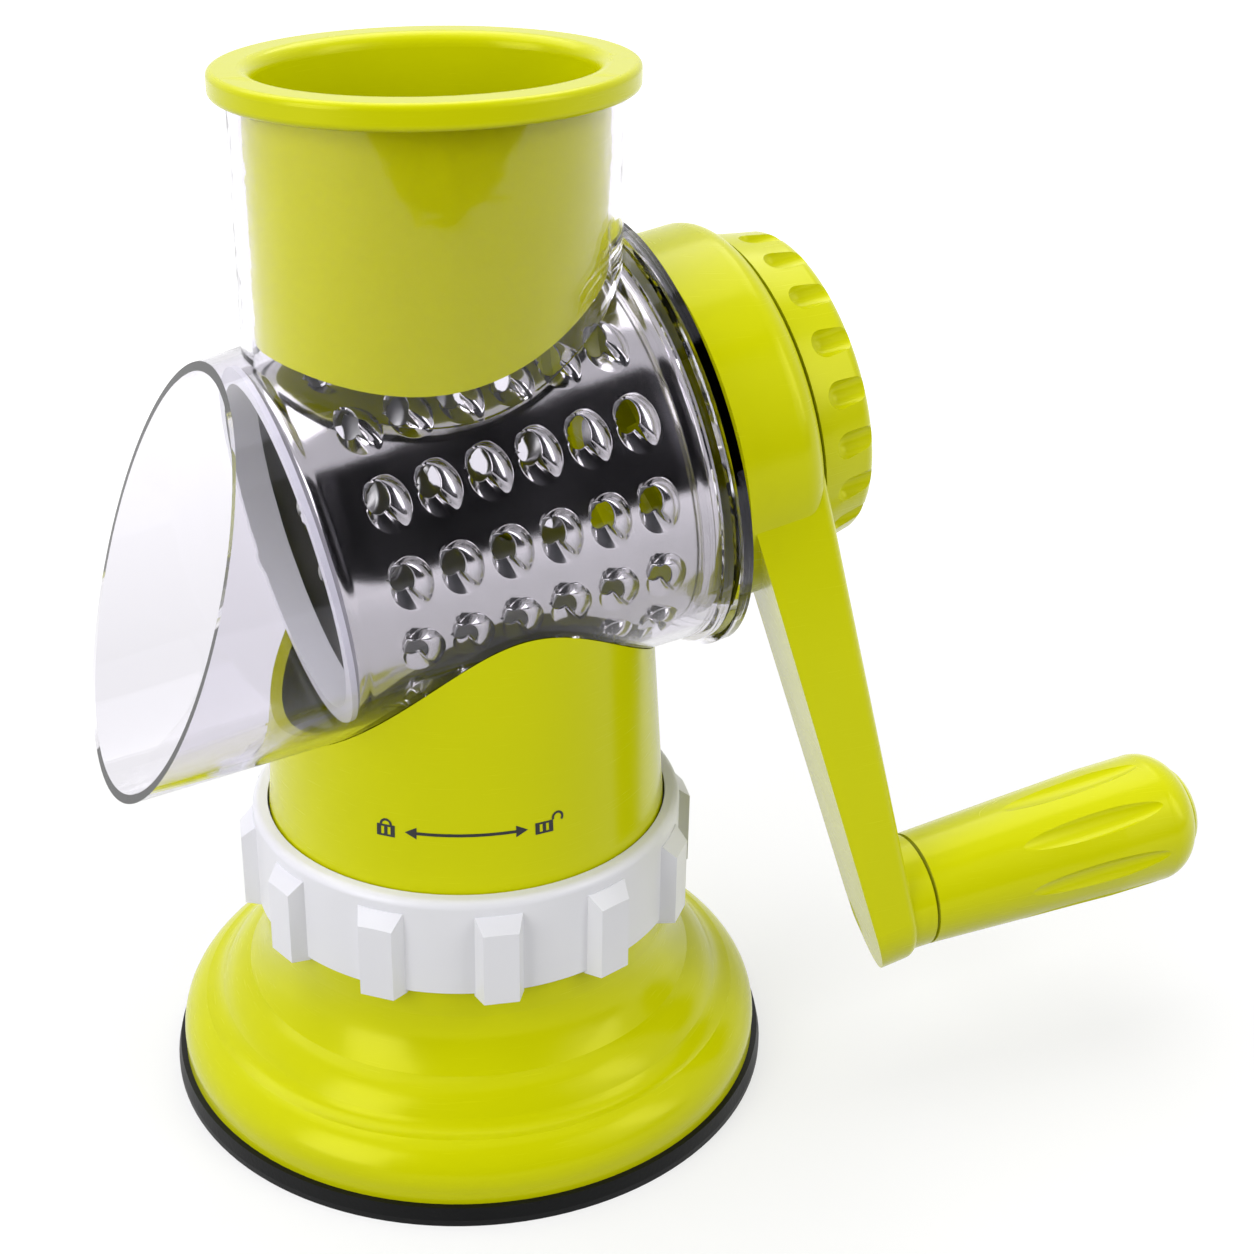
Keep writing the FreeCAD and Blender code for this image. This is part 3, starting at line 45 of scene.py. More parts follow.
def linear(hex_colour):
    """Turn an sRGB hex colour into the linear numbers that a shader takes."""
    shares = [int(hex_colour[i : i + 2], 16) / 255 for i in (1, 3, 5)]
    return [*(s / 12.92 if s <= 0.04045 else ((s + 0.055) / 1.055) ** 2.4 for s in shares), 1.0]


def new_material(name):
    """Make an empty node material."""
    material = bpy.data.materials.new(name)
    material.use_nodes = True
    material.node_tree.nodes.clear()
    return material


def add_node(material, kind, settings=None, links=None):
    """Add a node, set its properties and inputs, and link other nodes' outputs to its inputs."""
    node = material.node_tree.nodes.new(kind)
    for name, value in (settings or {}).items():
        if isinstance(name, int) or name in node.inputs:
            node.inputs[name].default_value = value
        else:
            setattr(node, name, value)
    for name, output in (links or {}).items():
        material.node_tree.links.new(output, node.inputs[name])
    return node


def show(material, surface):
    """Make a shader the material's surface."""
    add_node(material, "ShaderNodeOutputMaterial", links={"Surface": surface.outputs[0]})
    return material


def finish(material, slot, *nodes):
    """Give a material to carried-over CAD nodes; slot, the record's slot that it stands for, is
    not used.
    """
    for name in nodes:
        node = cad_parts[name]
        node.data.materials.clear()
        node.data.materials.append(material)


rubber = new_material("moulded_black_rubber")
rubber_place = add_node(rubber, "ShaderNodeTexCoord").outputs["Object"]
bloom = add_node(
    rubber, "ShaderNodeTexNoise", {"Scale": 1 / 0.012, "Detail": 3.0}, {"Vector": rubber_place}
)
rubber_colour = add_node(
    rubber,
    "ShaderNodeMix",
    {"data_type": "RGBA", 6: linear("#08090A"), 7: linear("#121314")},
    {"Factor": bloom.outputs["Fac"]},
)
rubber_rough = add_node(
    rubber, "ShaderNodeMapRange", {"To Min": 0.38, "To Max": 0.58}, {"Value": bloom.outputs["Fac"]}
)
# spark-eroded mould texture, 0.8 mm across
rubber_grain = add_node(
    rubber, "ShaderNodeTexNoise", {"Scale": 1 / 0.0008, "Detail": 2.0}, {"Vector": rubber_place}
)
rubber_bump = add_node(
    rubber,
    "ShaderNodeBump",
    {"Strength": 0.25, "Distance": 0.0002},
    {"Height": rubber_grain.outputs["Fac"]},
)
show(
    rubber,
    add_node(
        rubber,
        "ShaderNodeBsdfPrincipled",
        {"IOR": 1.42, "Specular Tint": linear("#A0A0A0")},
        {
            "Base Color": rubber_colour.outputs[2],
            "Roughness": rubber_rough.outputs[0],
            "Normal": rubber_bump.outputs[0],
        },
    ),
)
finish(rubber, "black_rubber", "suction_cup")


# ---------------------------------------------------------------- hidden steel and its screws
# Turned and rolled mild steel with bright zinc plating: the cup's stud, all the screws and
# the grip's pin. Zinc is pale and slightly blue, with a soft sheen from the barrel plating.

zinc = new_material("zinc_plated_steel")
zinc_place = add_node(zinc, "ShaderNodeTexCoord").outputs["Object"]
spangle = add_node(
    zinc, "ShaderNodeTexNoise", {"Scale": 1 / 0.0015, "Detail": 4.0}, {"Vector": zinc_place}
)
zinc_colour = add_node(
    zinc,
    "ShaderNodeMix",
    {"data_type": "RGBA", 6: linear("#B4B8BD"), 7: linear("#D3D6D9")},
    {"Factor": spangle.outputs["Fac"]},
)
zinc_rough = add_node(
    zinc, "ShaderNodeMapRange", {"To Min": 0.22, "To Max": 0.4}, {"Value": spangle.outputs["Fac"]}
)
zinc_bump = add_node(
    zinc,
    "ShaderNodeBump",
    {"Strength": 0.2, "Distance": 0.0001},
    {"Height": spangle.outputs["Fac"]},
)
show(
    zinc,
    add_node(
        zinc,
        "ShaderNodeBsdfPrincipled",
        {"Metallic": 1.0},
        {
            "Base Color": zinc_colour.outputs[2],
            "Roughness": zinc_rough.outputs[0],
            "Normal": zinc_bump.outputs[0],
        },
    ),
)
finish(
    zinc,
    "zinc_plated_steel",
    "cup_stud",
    "lifter_screw",
    "column_screws",
    "housing_screws",
    "grip_pin",
)


# -------------------------------------------------------- foot, column and other lime mouldings
# Injection-moulded ABS in a strong lime, polished in the mould. Gloss ABS mirrors the lamps
# softly, with a faint ripple from the flow of the plastic and hairline handling marks.


def moulded_plastic(name, deep, pale, smooth, rough, ripple_mm, ripple_strength, sheen):
    """Make a moulded plastic with colour drift, flow ripple, hairlines and a tinted sheen."""
    material = new_material(name)
    place = add_node(material, "ShaderNodeTexCoord").outputs["Object"]
    drift = add_node(
        material, "ShaderNodeTexNoise", {"Scale": 1 / 0.035, "Detail": 2.0}, {"Vector": place}
    )
    colour = add_node(
        material,
        "ShaderNodeMix",
        {"data_type": "RGBA", 6: linear(deep), 7: linear(pale)},
        {"Factor": drift.outputs["Fac"]},
    )
    # hairlines 0.15 mm wide and some 10 mm long, drawn wider than real ones so that they show
    long_place = add_node(
        material, "ShaderNodeMapping", {"Scale": (90.0, 160.0, 6500.0)}, {"Vector": place}
    )
    hair = add_node(
        material,
        "ShaderNodeTexNoise",
        {"Scale": 1.0, "Detail": 1.0, "Distortion": 0.4},
        {"Vector": long_place.outputs[0]},
    )
    scratch = add_node(
        material,
        "ShaderNodeMapRange",
        {"From Min": 0.66, "From Max": 0.76},
        {"Value": hair.outputs["Fac"]},
    )
    wear = add_node(
        material, "ShaderNodeTexNoise", {"Scale": 1 / 0.009, "Detail": 3.0}, {"Vector": place}
    )
    base_rough = add_node(
        material,
        "ShaderNodeMapRange",
        {"To Min": smooth, "To Max": rough},
        {"Value": wear.outputs["Fac"]},
    )
    roughness = add_node(
        material,
        "ShaderNodeMath",
        {"operation": "MULTIPLY_ADD", 1: 0.12},
        {0: scratch.outputs[0], 2: base_rough.outputs[0]},
    )
    ripple = add_node(
        material,
        "ShaderNodeTexNoise",
        {"Scale": 1000 / ripple_mm, "Detail": 1.5},
        {"Vector": place},
    )
    bump = add_node(
        material,
        "ShaderNodeBump",
        {"Strength": ripple_strength, "Distance": 0.0002},
        {"Height": ripple.outputs["Fac"]},
    )
    plastic = add_node(
        material,
        "ShaderNodeBsdfPrincipled",
        {"IOR": 1.5, "Specular Tint": linear(sheen)},
        {
            "Base Color": colour.outputs[2],
            "Roughness": roughness.outputs[0],
            "Normal": bump.outputs[0],
        },
    )
    return show(material, plastic)


lime = moulded_plastic("lime_gloss_abs", "#C4C700", "#CBCD02", 0.17, 0.26, 4.0, 0.05, "#F2EE70")
finish(
    lime,
    "lime_abs",
    "base_shell",
    "column",
    "drum_hub",
    "crank_arm",
    "clamp_knob",
    "grip",
    "grip_cap",
    "pusher",
)


# ---------------------------------------------------------------- lock ring and drum's end ring
# White ABS from the same tools, a shade cooler than paper and slightly less glossy.

white = moulded_plastic("white_abs", "#DCDCE2", "#E6E6EA", 0.26, 0.36, 3.0, 0.05, "#F4F4F8")
finish(white, "white_abs", "lock_ring", "drum_end_ring")


# ---------------------------------------------------------------- lifter, washers and bush
# Natural acetal, machined or moulded: milky, waxy and slippery, never polished.

acetal = moulded_plastic("natural_acetal", "#D9D8D0", "#E6E5DF", 0.4, 0.52, 1.2, 0.1, "#F0F0F0")
finish(acetal, "white_acetal", "lifter", "thrust_washer", "bearing_bush", "grip_washer")


# ---------------------------------------------------------------- lock marks on the column
# Black pad-printed marks: a closed padlock, a double arrow along the ring's travel, and an
# open padlock. Each is a skin of ink a few hundredths of a millimetre thick.

COLUMN_FOOT_R = 0.0411
COLUMN_TOP_R = 0.0366
COLUMN_STRAIGHT_Z = 0.062
COLUMN_TOP_Z = 0.124
INK = 0.00006
MARK_Z = 0.0752


def on_column(angle, height):
    """Return the point on the column's skin; the angle runs from the front towards the crank."""
    share = max(0.0, height - COLUMN_STRAIGHT_Z) / (COLUMN_TOP_Z - COLUMN_STRAIGHT_Z)
    radius = COLUMN_FOOT_R + (COLUMN_TOP_R - COLUMN_FOOT_R) * share + INK
    return Vector((radius * math.sin(angle), -radius * math.cos(angle), height))


def mesh_object(name, points, faces, smooth=True):
    """Make a mesh object in the scene."""
    mesh = bpy.data.meshes.new(name)
    mesh.from_pydata(points, [], faces)
    mesh.validate()
    mesh.update()
    if smooth:
        mesh.shade_smooth()
    made = bpy.data.objects.new(name, mesh)
    bpy.context.scene.collection.objects.link(made)
    return made


def printed_mark(name, centre_degrees, strips):
    """Lay strips on the column: each is a list of (left, right) pairs of (across, up) in mm."""
    points, faces = [], []
    centre = math.radians(centre_degrees)
    for strip in strips:
        first = len(points)
        for left, right in strip:
            for across, up in (left, right):
                angle = centre + across / 1000 / COLUMN_FOOT_R
                points.append(on_column(angle, MARK_Z + up / 1000))
        for i in range(len(strip) - 1):
            a = first + 2 * i
            faces.append((a, a + 1, a + 3, a + 2))
    made = mesh_object(name, points, faces)
    made.data.materials.append(ink)
    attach(made, "base")
    return made


def bar(x0, x1, y0, y1, steps=1):
    """Return an upright-sided bar as a strip."""
    return [
        ((x0 + (x1 - x0) * i / steps, y0), (x0 + (x1 - x0) * i / steps, y1))
        for i in range(steps + 1)
    ]


def bow(x, y, radius, thickness, start, end, steps=14):
    """Return an arc of even thickness as a strip, between two angles in degrees."""
    strip = []
    for i in range(steps + 1):
        turn = math.radians(start + (end - start) * i / steps)
        inner, outer = radius - thickness / 2, radius + thickness / 2
        strip.append(
            (
                (x + inner * math.cos(turn), y + inner * math.sin(turn)),
                (x + outer * math.cos(turn), y + outer * math.sin(turn)),
            )
        )
    return strip


ink = new_material("pad_printed_ink")
ink_place = add_node(ink, "ShaderNodeTexCoord").outputs["Object"]
ink_speckle = add_node(
    ink, "ShaderNodeTexNoise", {"Scale": 1 / 0.0005, "Detail": 2.0}, {"Vector": ink_place}
)
ink_colour = add_node(
    ink,
    "ShaderNodeMix",
    {"data_type": "RGBA", 6: linear("#07090A"), 7: linear("#15181A")},
    {"Factor": ink_speckle.outputs["Fac"]},
)
ink_rough = add_node(
    ink,
    "ShaderNodeMapRange",
    {"To Min": 0.3, "To Max": 0.45},
    {"Value": ink_speckle.outputs["Fac"]},
)
show(
    ink,
    add_node(
        ink,
        "ShaderNodeBsdfPrincipled",
        {"IOR": 1.5},
        {"Base Color": ink_colour.outputs[2], "Roughness": ink_rough.outputs[0]},
    ),
)

padlock_case = [
    bar(-1.9, -1.0, -1.5, 1.0),
    bar(-1.0, 1.0, -1.5, -1.05),
    bar(-1.0, 1.0, 0.55, 1.0),
    bar(-0.35, 0.35, -1.05, 0.55),
    bar(1.0, 1.9, -1.5, 1.0),
]
printed_mark("mark_closed_padlock", -42.7, [*padlock_case, bow(0, 1.0, 1.05, 0.5, 0, 180)])
printed_mark("mark_open_padlock", 1.6, [*padlock_case, bow(2.95, 1.3, 1.05, 0.5, -40, 200)])

# the arrow's heads are strips that narrow to a point
arrow_half = math.radians(17.0) * COLUMN_FOOT_R * 1000
head_back = arrow_half - 2.4
head_half = 1.25
left_head = [
    ((-arrow_half, 0.0), (-arrow_half, 0.01)),
    ((-head_back, -head_half), (-head_back, head_half)),
]
right_head = [
    ((head_back, -head_half), (head_back, head_half)),
    ((arrow_half, 0.0), (arrow_half, 0.01)),
]
arrow_shaft = bar(2.0 - arrow_half, arrow_half - 2.0, -0.32, 0.32, steps=24)
printed_mark("mark_double_arrow", -20.2, [arrow_shaft, left_head, right_head])


# ---------------------------------------------------------------- clear housing and end plate
# One clear SAN moulding: tunnel, slanted mouth, oval chute and flange. SAN is stiff and
# bright like glass, a little grey-violet in the thick, and lets the lamps through.

san = new_material("clear_moulded_san")
san_place = add_node(san, "ShaderNodeTexCoord").outputs["Object"]
haze = add_node(
    san, "ShaderNodeTexNoise", {"Scale": 1 / 0.02, "Detail": 4.0}, {"Vector": san_place}
)
san_rough = add_node(
    san, "ShaderNodeMapRange", {"To Min": 0.0, "To Max": 0.05}, {"Value": haze.outputs["Fac"]}
)
flow = add_node(
    san, "ShaderNodeTexNoise", {"Scale": 1 / 0.018, "Detail": 1.0}, {"Vector": san_place}
)
san_bump = add_node(
    san,
    "ShaderNodeBump",
    {"Strength": 0.03, "Distance": 0.001},
    {"Height": flow.outputs["Fac"]},
)
clear = add_node(
    san,
    "ShaderNodeBsdfPrincipled",
    {
        "Base Color": linear("#EAE8EE"),
        "IOR": 1.46,
        "Specular Tint": linear("#96969E"),
        "Transmission Weight": 1.0,
    },
    {"Roughness": san_rough.outputs[0], "Normal": san_bump.outputs[0]},
)
lamp_window = add_node(san, "ShaderNodeBsdfTransparent", {"Color": linear("#EEEDF3")})
san_rays = add_node(san, "ShaderNodeLightPath")
show(
    san,
    add_node(
        san,
        "ShaderNodeMixShader",
        links={
            0: san_rays.outputs["Is Shadow Ray"],
            1: clear.outputs[0],
            2: lamp_window.outputs[0],
        },
    ),
)
finish(san, "clear_san", "housing", "end_plate")


# ---------------------------------------------------------------- punched drum
# Rolled 0.6 mm stainless steel, seam-welded into a cone, with fifteen rows of six punched
# teeth: each is an oval hole under a raised half-hood, with a dished run-in below it.

# the axis height is in metres, and the drum's other lengths are in millimetres
AXIS_HEIGHT = 0.1295
DRUM_TILT = math.radians(9.8)
SLEEVE_START, SLEEVE_END = -35.6, 37.5
SMALL_R, BIG_R = 34.6, 38.2
SHEET = 0.6
TOOTH_ROWS, TEETH_PER_ROW = 15, 6
FIRST_TOOTH, TOOTH_PITCH = -24.0, 9.6
MEAN_R = 36.4
CELL_LEFT, CELL_RIGHT = -3.4, 6.2
CELL_TURN = 2 * math.pi / TOOTH_ROWS
FIRST_ROW_TURN = math.radians(-2.2)
CELL_TOP = 5.7
CELL_BOTTOM = CELL_TOP - CELL_TURN * MEAN_R
HOLE_HALF_WIDTH, HOLE_HALF_HEIGHT = 2.1, 3.0
SLIT_DIRECTION = math.radians(-64.0)
SLIT_HALF_ANGLE = math.radians(6.0)
SLIT_LENGTH = 3.2
OUTLINE_CENTRE = (1.8, -1.95)
OUTLINE_HALF_WIDTH, OUTLINE_HALF_HEIGHT = 4.1, 5.4
# the hood runs from the slit round the right to its last angle, and the dish round the left
HOOD_HEIGHT = 1.9
HOOD_LAST, HOOD_FADE = math.radians(118.0), 0.7
DISH_DEPTH = 0.9
DISH_LAST, DISH_FADE = math.radians(-150.0), 0.6
STEP_AT_SLIT = 0.2
BEADS = (-32.5, 33.7)
BEAD_HALF_WIDTH, BEAD_HALF_FLOOR, BEAD_DEPTH = 0.7, 0.3, 0.2

drum_axis = Vector((math.cos(DRUM_TILT), 0, math.sin(DRUM_TILT)))
drum_down = Vector((math.sin(DRUM_TILT), 0, -math.cos(DRUM_TILT)))
drum_rear = Vector((0, 1, 0))


def on_drum(along, turn, height):
    """Return the point on the drum's skin; turn runs from the underside towards the rear."""
    radius = SMALL_R + (BIG_R - SMALL_R) * (along - SLEEVE_START) / (SLEEVE_END - SLEEVE_START)
    radial = drum_down * math.cos(turn) + drum_rear * math.sin(turn)
    spot = drum_axis * along + radial * (radius + height)
    return spot / 1000 + Vector((0, 0, AXIS_HEIGHT))


def hole_reach(angle):
    """Return how far the punched hole reaches from its middle, with its slit."""
    oval = 1 / math.hypot(math.cos(angle) / HOLE_HALF_WIDTH, math.sin(angle) / HOLE_HALF_HEIGHT)
    off = abs(math.remainder(angle - SLIT_DIRECTION, 2 * math.pi))
    return oval + SLIT_LENGTH * max(0.0, 1 - off / SLIT_HALF_ANGLE)


def outline_reach(angle):
    """Return how far the pressed outline is from the hole's middle."""
    cos, sin = math.cos(angle), math.sin(angle)
    a = (cos / OUTLINE_HALF_WIDTH) ** 2 + (sin / OUTLINE_HALF_HEIGHT) ** 2
    b = (
        cos * OUTLINE_CENTRE[0] / OUTLINE_HALF_WIDTH**2
        + sin * OUTLINE_CENTRE[1] / OUTLINE_HALF_HEIGHT**2
    )
    c = (OUTLINE_CENTRE[0] / OUTLINE_HALF_WIDTH) ** 2
    c += (OUTLINE_CENTRE[1] / OUTLINE_HALF_HEIGHT) ** 2 - 1
    return (b + math.sqrt(b * b - a * c)) / a


def eased(share):
    """Ease a share between 0 and 1."""
    share = min(1.0, max(0.0, share))
    return share * share * (3 - 2 * share)


def tooth_height(angle, share):
    """Return the sheet's height beside the hole; share is 0 at the hole and 1 at the outline."""
    past_slit = angle - SLIT_DIRECTION
    hood = HOOD_HEIGHT * eased(past_slit / STEP_AT_SLIT)
    hood *= eased((HOOD_LAST - angle) / HOOD_FADE)
    dish = DISH_DEPTH * eased(-past_slit / STEP_AT_SLIT)
    dish *= eased((angle - DISH_LAST) / DISH_FADE)
    return hood * (1 - share**2) - dish * (1 - share)


def bead(middle):
    """Return a shallow rolled bead's profile as (along, height) pairs."""
    return [
        (middle - BEAD_HALF_WIDTH, 0),
        (middle - BEAD_HALF_FLOOR, -BEAD_DEPTH),
        (middle + BEAD_HALF_FLOOR, -BEAD_DEPTH),
        (middle + BEAD_HALF_WIDTH, 0),
    ]


def split(stops):
    """Halve the steps of a list of stops."""
    middles = [(a + b) / 2 for a, b in zip(stops, stops[1:])]
    return sorted(stops + middles)


# stops along a cell's edges, closer together where the slit points
cell_across = split(
    [CELL_LEFT, -2.2, -1.0, 0.2, 1.4, 2.4, 3.2, 3.8, 4.2, 4.5, 4.8, 5.1, 5.6, CELL_RIGHT]
)
cell_sides = split(
    [CELL_BOTTOM, -7.6, -5.6, -3.8, -2.4, -1.2, 0.0, 1.1, 2.2, 3.2, 4.4, CELL_TOP]
)
cell_edge = [(u, CELL_BOTTOM) for u in cell_across]
cell_edge += [(CELL_RIGHT, v) for v in cell_sides[1:-1]]
cell_edge += [(u, CELL_TOP) for u in reversed(cell_across)]
cell_edge += [(CELL_LEFT, v) for v in reversed(cell_sides[1:-1])]
hood_shares = [0.0, 0.05, 0.13, 0.24, 0.36, 0.49, 0.62, 0.75, 0.87, 0.95, 1.0]
flat_shares = [0.12, 0.4, 0.7, 1.0]

drum_points, drum_faces, drum_spots = [], [], {}


def drum_point(along, turn, height):
    """Add a point of the sleeve, or find the one that another cell has added there."""
    steps = round(turn % (2 * math.pi) * 1e5) % round(2 * math.pi * 1e5)
    key = (round(along * 1e3), steps, round(height * 1e4))
    if key not in drum_spots:
        drum_spots[key] = len(drum_points)
        drum_points.append(on_drum(along, turn + FIRST_ROW_TURN, height))
    return drum_spots[key]


for row in range(TOOTH_ROWS):
    for tooth in range(TEETH_PER_ROW):
        middle = FIRST_TOOTH + tooth * TOOTH_PITCH
        rings = [[] for share in hood_shares + flat_shares]
        for u, v in cell_edge:
            angle = math.atan2(v, u)
            cos, sin = math.cos(angle), math.sin(angle)
            inner, outer = hole_reach(angle), outline_reach(angle)
            spots = []
            for share in hood_shares:
                reach = inner + (outer - inner) * share
                spots.append((reach * cos, reach * sin, tooth_height(angle, share)))
            for share in flat_shares:
                across = outer * cos + (u - outer * cos) * share
                up = outer * sin + (v - outer * sin) * share
                spots.append((across, up, 0.0))
            for ring, (across, up, height) in zip(rings, spots):
                ring.append(drum_point(middle + across, row * CELL_TURN - up / MEAN_R, height))
        for inner_ring, outer_ring in zip(rings, rings[1:]):
            for i in range(len(cell_edge)):
                j = (i + 1) % len(cell_edge)
                drum_faces.append((outer_ring[i], outer_ring[j], inner_ring[j], inner_ring[i]))
    # plain bands at both ends, with a rolled bead near each
    last = FIRST_TOOTH + (TEETH_PER_ROW - 1) * TOOTH_PITCH + CELL_RIGHT
    first = FIRST_TOOTH + CELL_LEFT
    for band in (
        [(SLEEVE_START, 0), *bead(BEADS[0]), (first, 0)],
        [(last, 0), *bead(BEADS[1]), (SLEEVE_END, 0)],
    ):
        for (s0, h0), (s1, h1) in zip(band, band[1:]):
            for v0, v1 in zip(cell_sides, cell_sides[1:]):
                t0, t1 = (row * CELL_TURN - v / MEAN_R for v in (v0, v1))
                drum_faces.append(
                    (
                        drum_point(s0, t0, h0),
                        drum_point(s1, t0, h1),
                        drum_point(s1, t1, h1),
                        drum_point(s0, t1, h0),
                    )
                )

sleeve = mesh_object("drum_sleeve_punched", drum_points, drum_faces)
thickness = sleeve.modifiers.new("sheet", "SOLIDIFY")
thickness.thickness = SHEET / 1000
thickness.offset = -1.0
thickness.use_even_offset = False
thickness.material_offset = 1


def rolled_stainless(name, deep, pale, smooth, rough):
    """Make rolled stainless steel with its lines running round the drum."""
    steel = new_material(name)
    steel_place = add_node(steel, "ShaderNodeTexCoord").outputs["Object"]
    steel_along = add_node(
        steel,
        "ShaderNodeVectorMath",
        {"operation": "DOT_PRODUCT", 1: tuple(drum_axis)},
        {0: steel_place},
    )
    # rolling lines round the drum, 0.25 mm apart
    rolled = add_node(
        steel,
        "ShaderNodeTexNoise",
        {"noise_dimensions": "1D", "Scale": 1 / 0.00025, "Detail": 2.0},
        {"W": steel_along.outputs["Value"]},
    )
    smear = add_node(
        steel, "ShaderNodeTexNoise", {"Scale": 1 / 0.014, "Detail": 4.0}, {"Vector": steel_place}
    )
    steel_colour = add_node(
        steel,
        "ShaderNodeMix",
        {"data_type": "RGBA", 6: linear(deep), 7: linear(pale)},
        {"Factor": smear.outputs["Fac"]},
    )
    steel_base_rough = add_node(
        steel,
        "ShaderNodeMapRange",
        {"To Min": smooth, "To Max": rough},
        {"Value": smear.outputs["Fac"]},
    )
    steel_rough = add_node(
        steel,
        "ShaderNodeMath",
        {"operation": "MULTIPLY_ADD", 1: 0.06},
        {0: rolled.outputs["Fac"], 2: steel_base_rough.outputs[0]},
    )
    steel_bump = add_node(
        steel,
        "ShaderNodeBump",
        {"Strength": 0.05, "Distance": 0.00005},
        {"Height": rolled.outputs["Fac"]},
    )
    return show(
        steel,
        add_node(
            steel,
            "ShaderNodeBsdfPrincipled",
            {"Metallic": 1.0},
            {
                "Base Color": steel_colour.outputs[2],
                "Roughness": steel_rough.outputs[0],
                "Normal": steel_bump.outputs[0],
            },
        ),
    )


# bright outside, which mirrors the room in long streaks
stainless = rolled_stainless("bright_rolled_stainless", "#C9C8C7", "#DAD9D8", 0.07, 0.16)
# inside as it comes from the mill, rougher, with a darker grey that is painted shade for the
# shadowed inside of the drum; it shows grey and blurred through the holes
steel_inside_painted_shade = rolled_stainless("satin_stainless_inside_painted_shade", "#8E8E8E", "#A5A5A4", 0.3, 0.42)
sleeve.data.materials.append(stainless)
sleeve.data.materials.append(steel_inside_painted_shade)
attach(sleeve, "crank")
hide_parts("drum_sleeve")
finish(stainless, "stainless_steel", "drive_shaft")


# ---------------------------------------------------------------- knob's nut
# Turned brass insert, left as machined.

brass = new_material("turned_brass")
brass_place = add_node(brass, "ShaderNodeTexCoord").outputs["Object"]
brass_lines = add_node(
    brass, "ShaderNodeTexNoise", {"Scale": 1 / 0.0006, "Detail": 3.0}, {"Vector": brass_place}
)
brass_colour = add_node(
    brass,
    "ShaderNodeMix",
    {"data_type": "RGBA", 6: linear("#B08A3E"), 7: linear("#CDA653")},
    {"Factor": brass_lines.outputs["Fac"]},
)
brass_rough = add_node(
    brass,
    "ShaderNodeMapRange",
    {"To Min": 0.22, "To Max": 0.36},
    {"Value": brass_lines.outputs["Fac"]},
)
show(
    brass,
    add_node(
        brass,
        "ShaderNodeBsdfPrincipled",
        {"Metallic": 1.0},
        {"Base Color": brass_colour.outputs[2], "Roughness": brass_rough.outputs[0]},
    ),
)
finish(brass, "brass", "knob_nut")


# ---------------------------------------------------------------- table, lamps and camera
# A plain white table that runs up to the edge of view, soft lamps, and the camera.

TABLE_REACH = 3.0

table = mesh_object(
    "table",
    [
        (-TABLE_REACH, -TABLE_REACH, 0),
        (TABLE_REACH, -TABLE_REACH, 0),
        (TABLE_REACH, TABLE_REACH, 0),
        (-TABLE_REACH, TABLE_REACH, 0),
    ],
    [(0, 1, 2, 3)],
    smooth=False,
)
paper = new_material("white_paper_table")
paper_rays = add_node(paper, "ShaderNodeLightPath")
paper_direct = add_node(
    paper,
    "ShaderNodeMath",
    {"operation": "MAXIMUM"},
    {0: paper_rays.outputs["Is Camera Ray"], 1: paper_rays.outputs["Is Glossy Ray"]},
)
paper_seen = add_node(
    paper,
    "ShaderNodeMath",
    {"operation": "MAXIMUM"},
    {0: paper_direct.outputs[0], 1: paper_rays.outputs["Is Transmission Ray"]},
)
# the paper keeps the shadow near the grater and fades to plain white away from it
paper_place = add_node(paper, "ShaderNodeTexCoord").outputs["Object"]
paper_distance = add_node(
    paper, "ShaderNodeVectorMath", {"operation": "LENGTH"}, {0: paper_place}
)
paper_level = add_node(
    paper,
    "ShaderNodeMapRange",
    {"From Min": 0.2, "From Max": 0.5, "To Min": 0.6, "To Max": 1.0},
    {"Value": paper_distance.outputs["Value"]},
)
paper_lift = add_node(
    paper,
    "ShaderNodeMath",
    {"operation": "MULTIPLY"},
    {0: paper_seen.outputs[0], 1: paper_level.outputs[0]},
)
paper_base = add_node(paper, "ShaderNodeBsdfDiffuse", {"Color": linear("#A0A0A0")})
paper_glow = add_node(
    paper,
    "ShaderNodeEmission",
    {"Color": (1.0, 1.0, 1.0, 1.0)},
    {"Strength": paper_lift.outputs[0]},
)
show(
    paper,
    add_node(
        paper, "ShaderNodeAddShader", links={0: paper_base.outputs[0], 1: paper_glow.outputs[0]}
    ),
)
table.data.materials.append(paper)

# a black studio flag that curves over the front, for the dark band in the polished steel
FLAG_SIDES = (-1.3, 1.3)
flag_line = [(-0.7, 0.001), (-0.85, 0.35), (-0.85, 0.7), (-0.7, 0.95), (-0.5, 1.08)]
flag = mesh_object(
    "black_flag",
    [(x, y, z) for x in FLAG_SIDES for y, z in flag_line],
    [(i, i + 1, i + 1 + len(flag_line), i + len(flag_line)) for i in range(len(flag_line) - 1)],
)
velvet = new_material("black_velvet_flag")
show(velvet, add_node(velvet, "ShaderNodeBsdfDiffuse", {"Color": linear("#0C0C0C")}))
flag.data.materials.append(velvet)
flag.visible_camera = False
flag.visible_diffuse = False
flag.visible_shadow = False


def softbox(name, place, aim, width, height, power):
    """Hang a soft rectangular lamp that faces a point."""
    lamp = bpy.data.lights.new(name, "AREA")
    lamp.shape = "RECTANGLE"
    lamp.size = width
    lamp.size_y = height
    lamp.energy = power
    hung = bpy.data.objects.new(name, lamp)
    hung.location = place
    hung.rotation_euler = (Vector(aim) - Vector(place)).to_track_quat("-Z", "Y").to_euler()
    bpy.context.scene.collection.objects.link(hung)


MIDDLE = (0.03, 0.0, 0.1)
softbox("lamp_above", (0.0, 0.42, 1.15), MIDDLE, 1.6, 1.0, 12.0)
softbox("lamp_left", (-0.95, -0.4, 0.5), MIDDLE, 0.6, 0.9, 7.0)
softbox("lamp_right", (0.75, -0.8, 0.65), MIDDLE, 0.6, 0.9, 6.5)

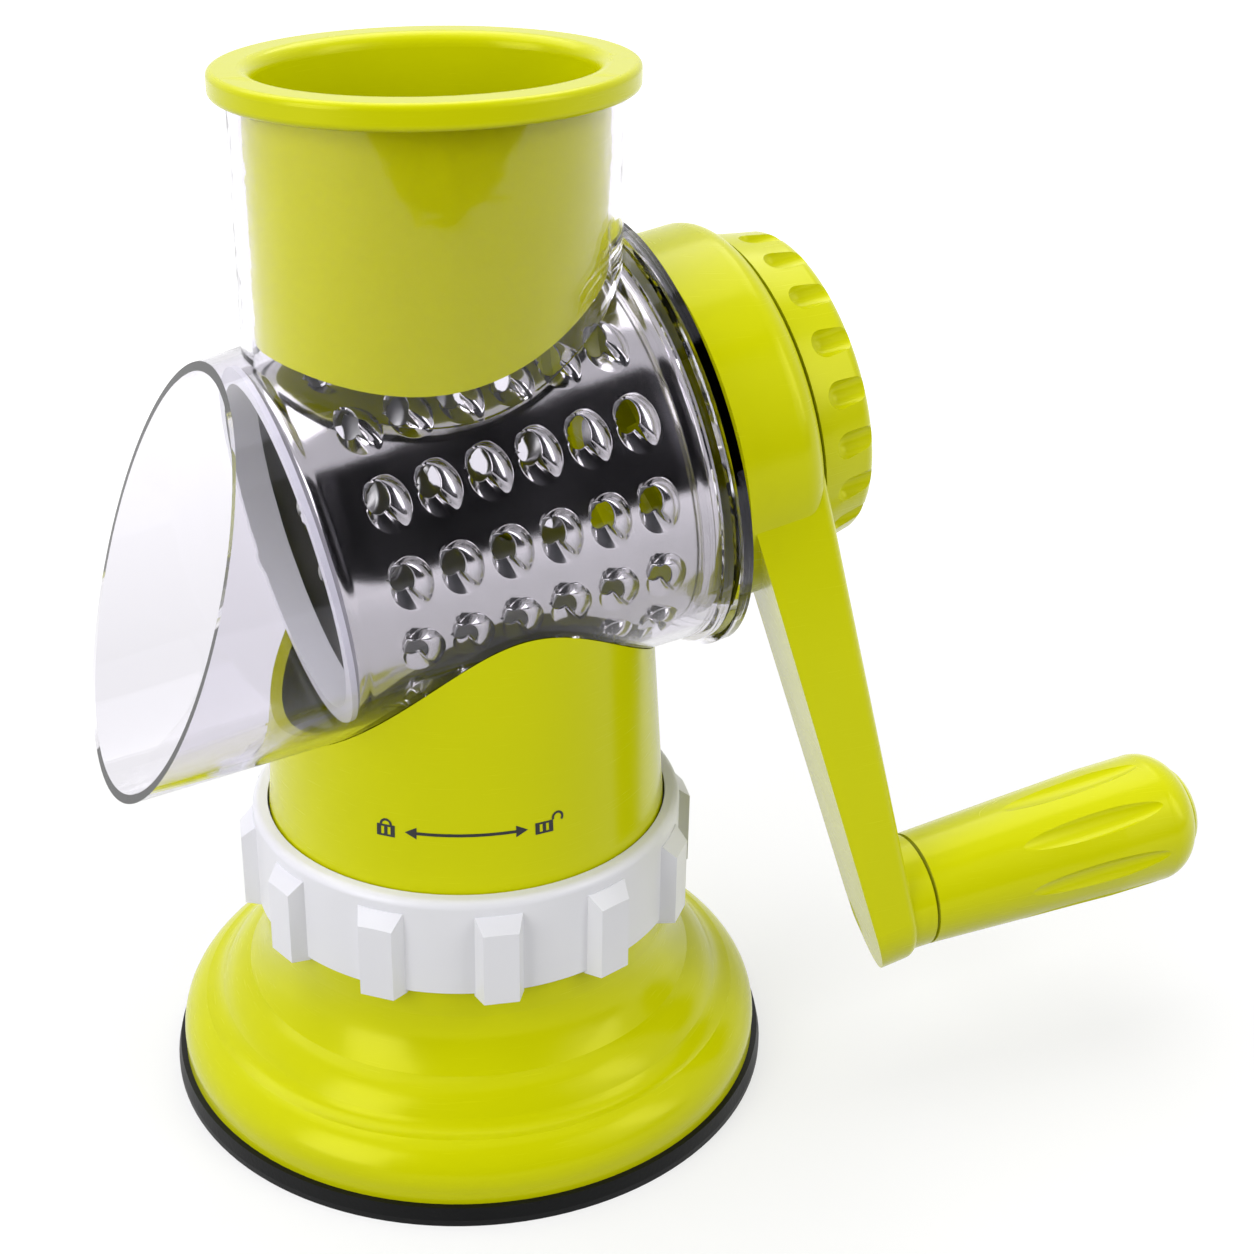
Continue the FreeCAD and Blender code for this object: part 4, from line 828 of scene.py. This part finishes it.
world = bpy.data.worlds.new("studio")
bpy.context.scene.world = world
world.use_nodes = True
world.node_tree.nodes.clear()
world_rays = add_node(world, "ShaderNodeLightPath")
world_direct = add_node(
    world,
    "ShaderNodeMath",
    {"operation": "MAXIMUM"},
    {0: world_rays.outputs["Is Camera Ray"], 1: world_rays.outputs["Is Glossy Ray"]},
)
world_seen = add_node(
    world,
    "ShaderNodeMath",
    {"operation": "MAXIMUM"},
    {0: world_direct.outputs[0], 1: world_rays.outputs["Is Transmission Ray"]},
)
world_level = add_node(
    world,
    "ShaderNodeMapRange",
    {"To Min": 0.4, "To Max": 1.0},
    {"Value": world_seen.outputs[0]},
)
world_light = add_node(
    world,
    "ShaderNodeBackground",
    {"Color": (1.0, 1.0, 1.0, 1.0)},
    {"Strength": world_level.outputs[0]},
)
add_node(world, "ShaderNodeOutputWorld", links={"Surface": world_light.outputs[0]})

CAMERA_PLACE = (-0.12838, -0.35818, 0.29078)
CAMERA_TURN = math.radians(24.678)
CAMERA_DIP = math.radians(26.69)
CAMERA_ROLL = 0.02

camera_data = bpy.data.cameras.new("camera")
camera_data.lens = 60.29
camera_data.sensor_width = 36.0
camera_data.clip_start = 0.05
camera_data.clip_end = 20.0
camera = bpy.data.objects.new("camera", camera_data)
forward = Vector(
    (
        math.sin(CAMERA_TURN) * math.cos(CAMERA_DIP),
        math.cos(CAMERA_TURN) * math.cos(CAMERA_DIP),
        -math.sin(CAMERA_DIP),
    )
)
level = Vector((math.cos(CAMERA_TURN), -math.sin(CAMERA_TURN), 0))
upward = level.cross(forward)
right = level * math.cos(CAMERA_ROLL) + upward * math.sin(CAMERA_ROLL)
up = upward * math.cos(CAMERA_ROLL) - level * math.sin(CAMERA_ROLL)
camera_axes = Matrix((right, up, -forward)).transposed().to_4x4()
camera.matrix_world = Matrix.Translation(CAMERA_PLACE) @ camera_axes
bpy.context.scene.collection.objects.link(camera)
bpy.context.scene.camera = camera
bpy.context.scene.view_settings.view_transform = "Standard"
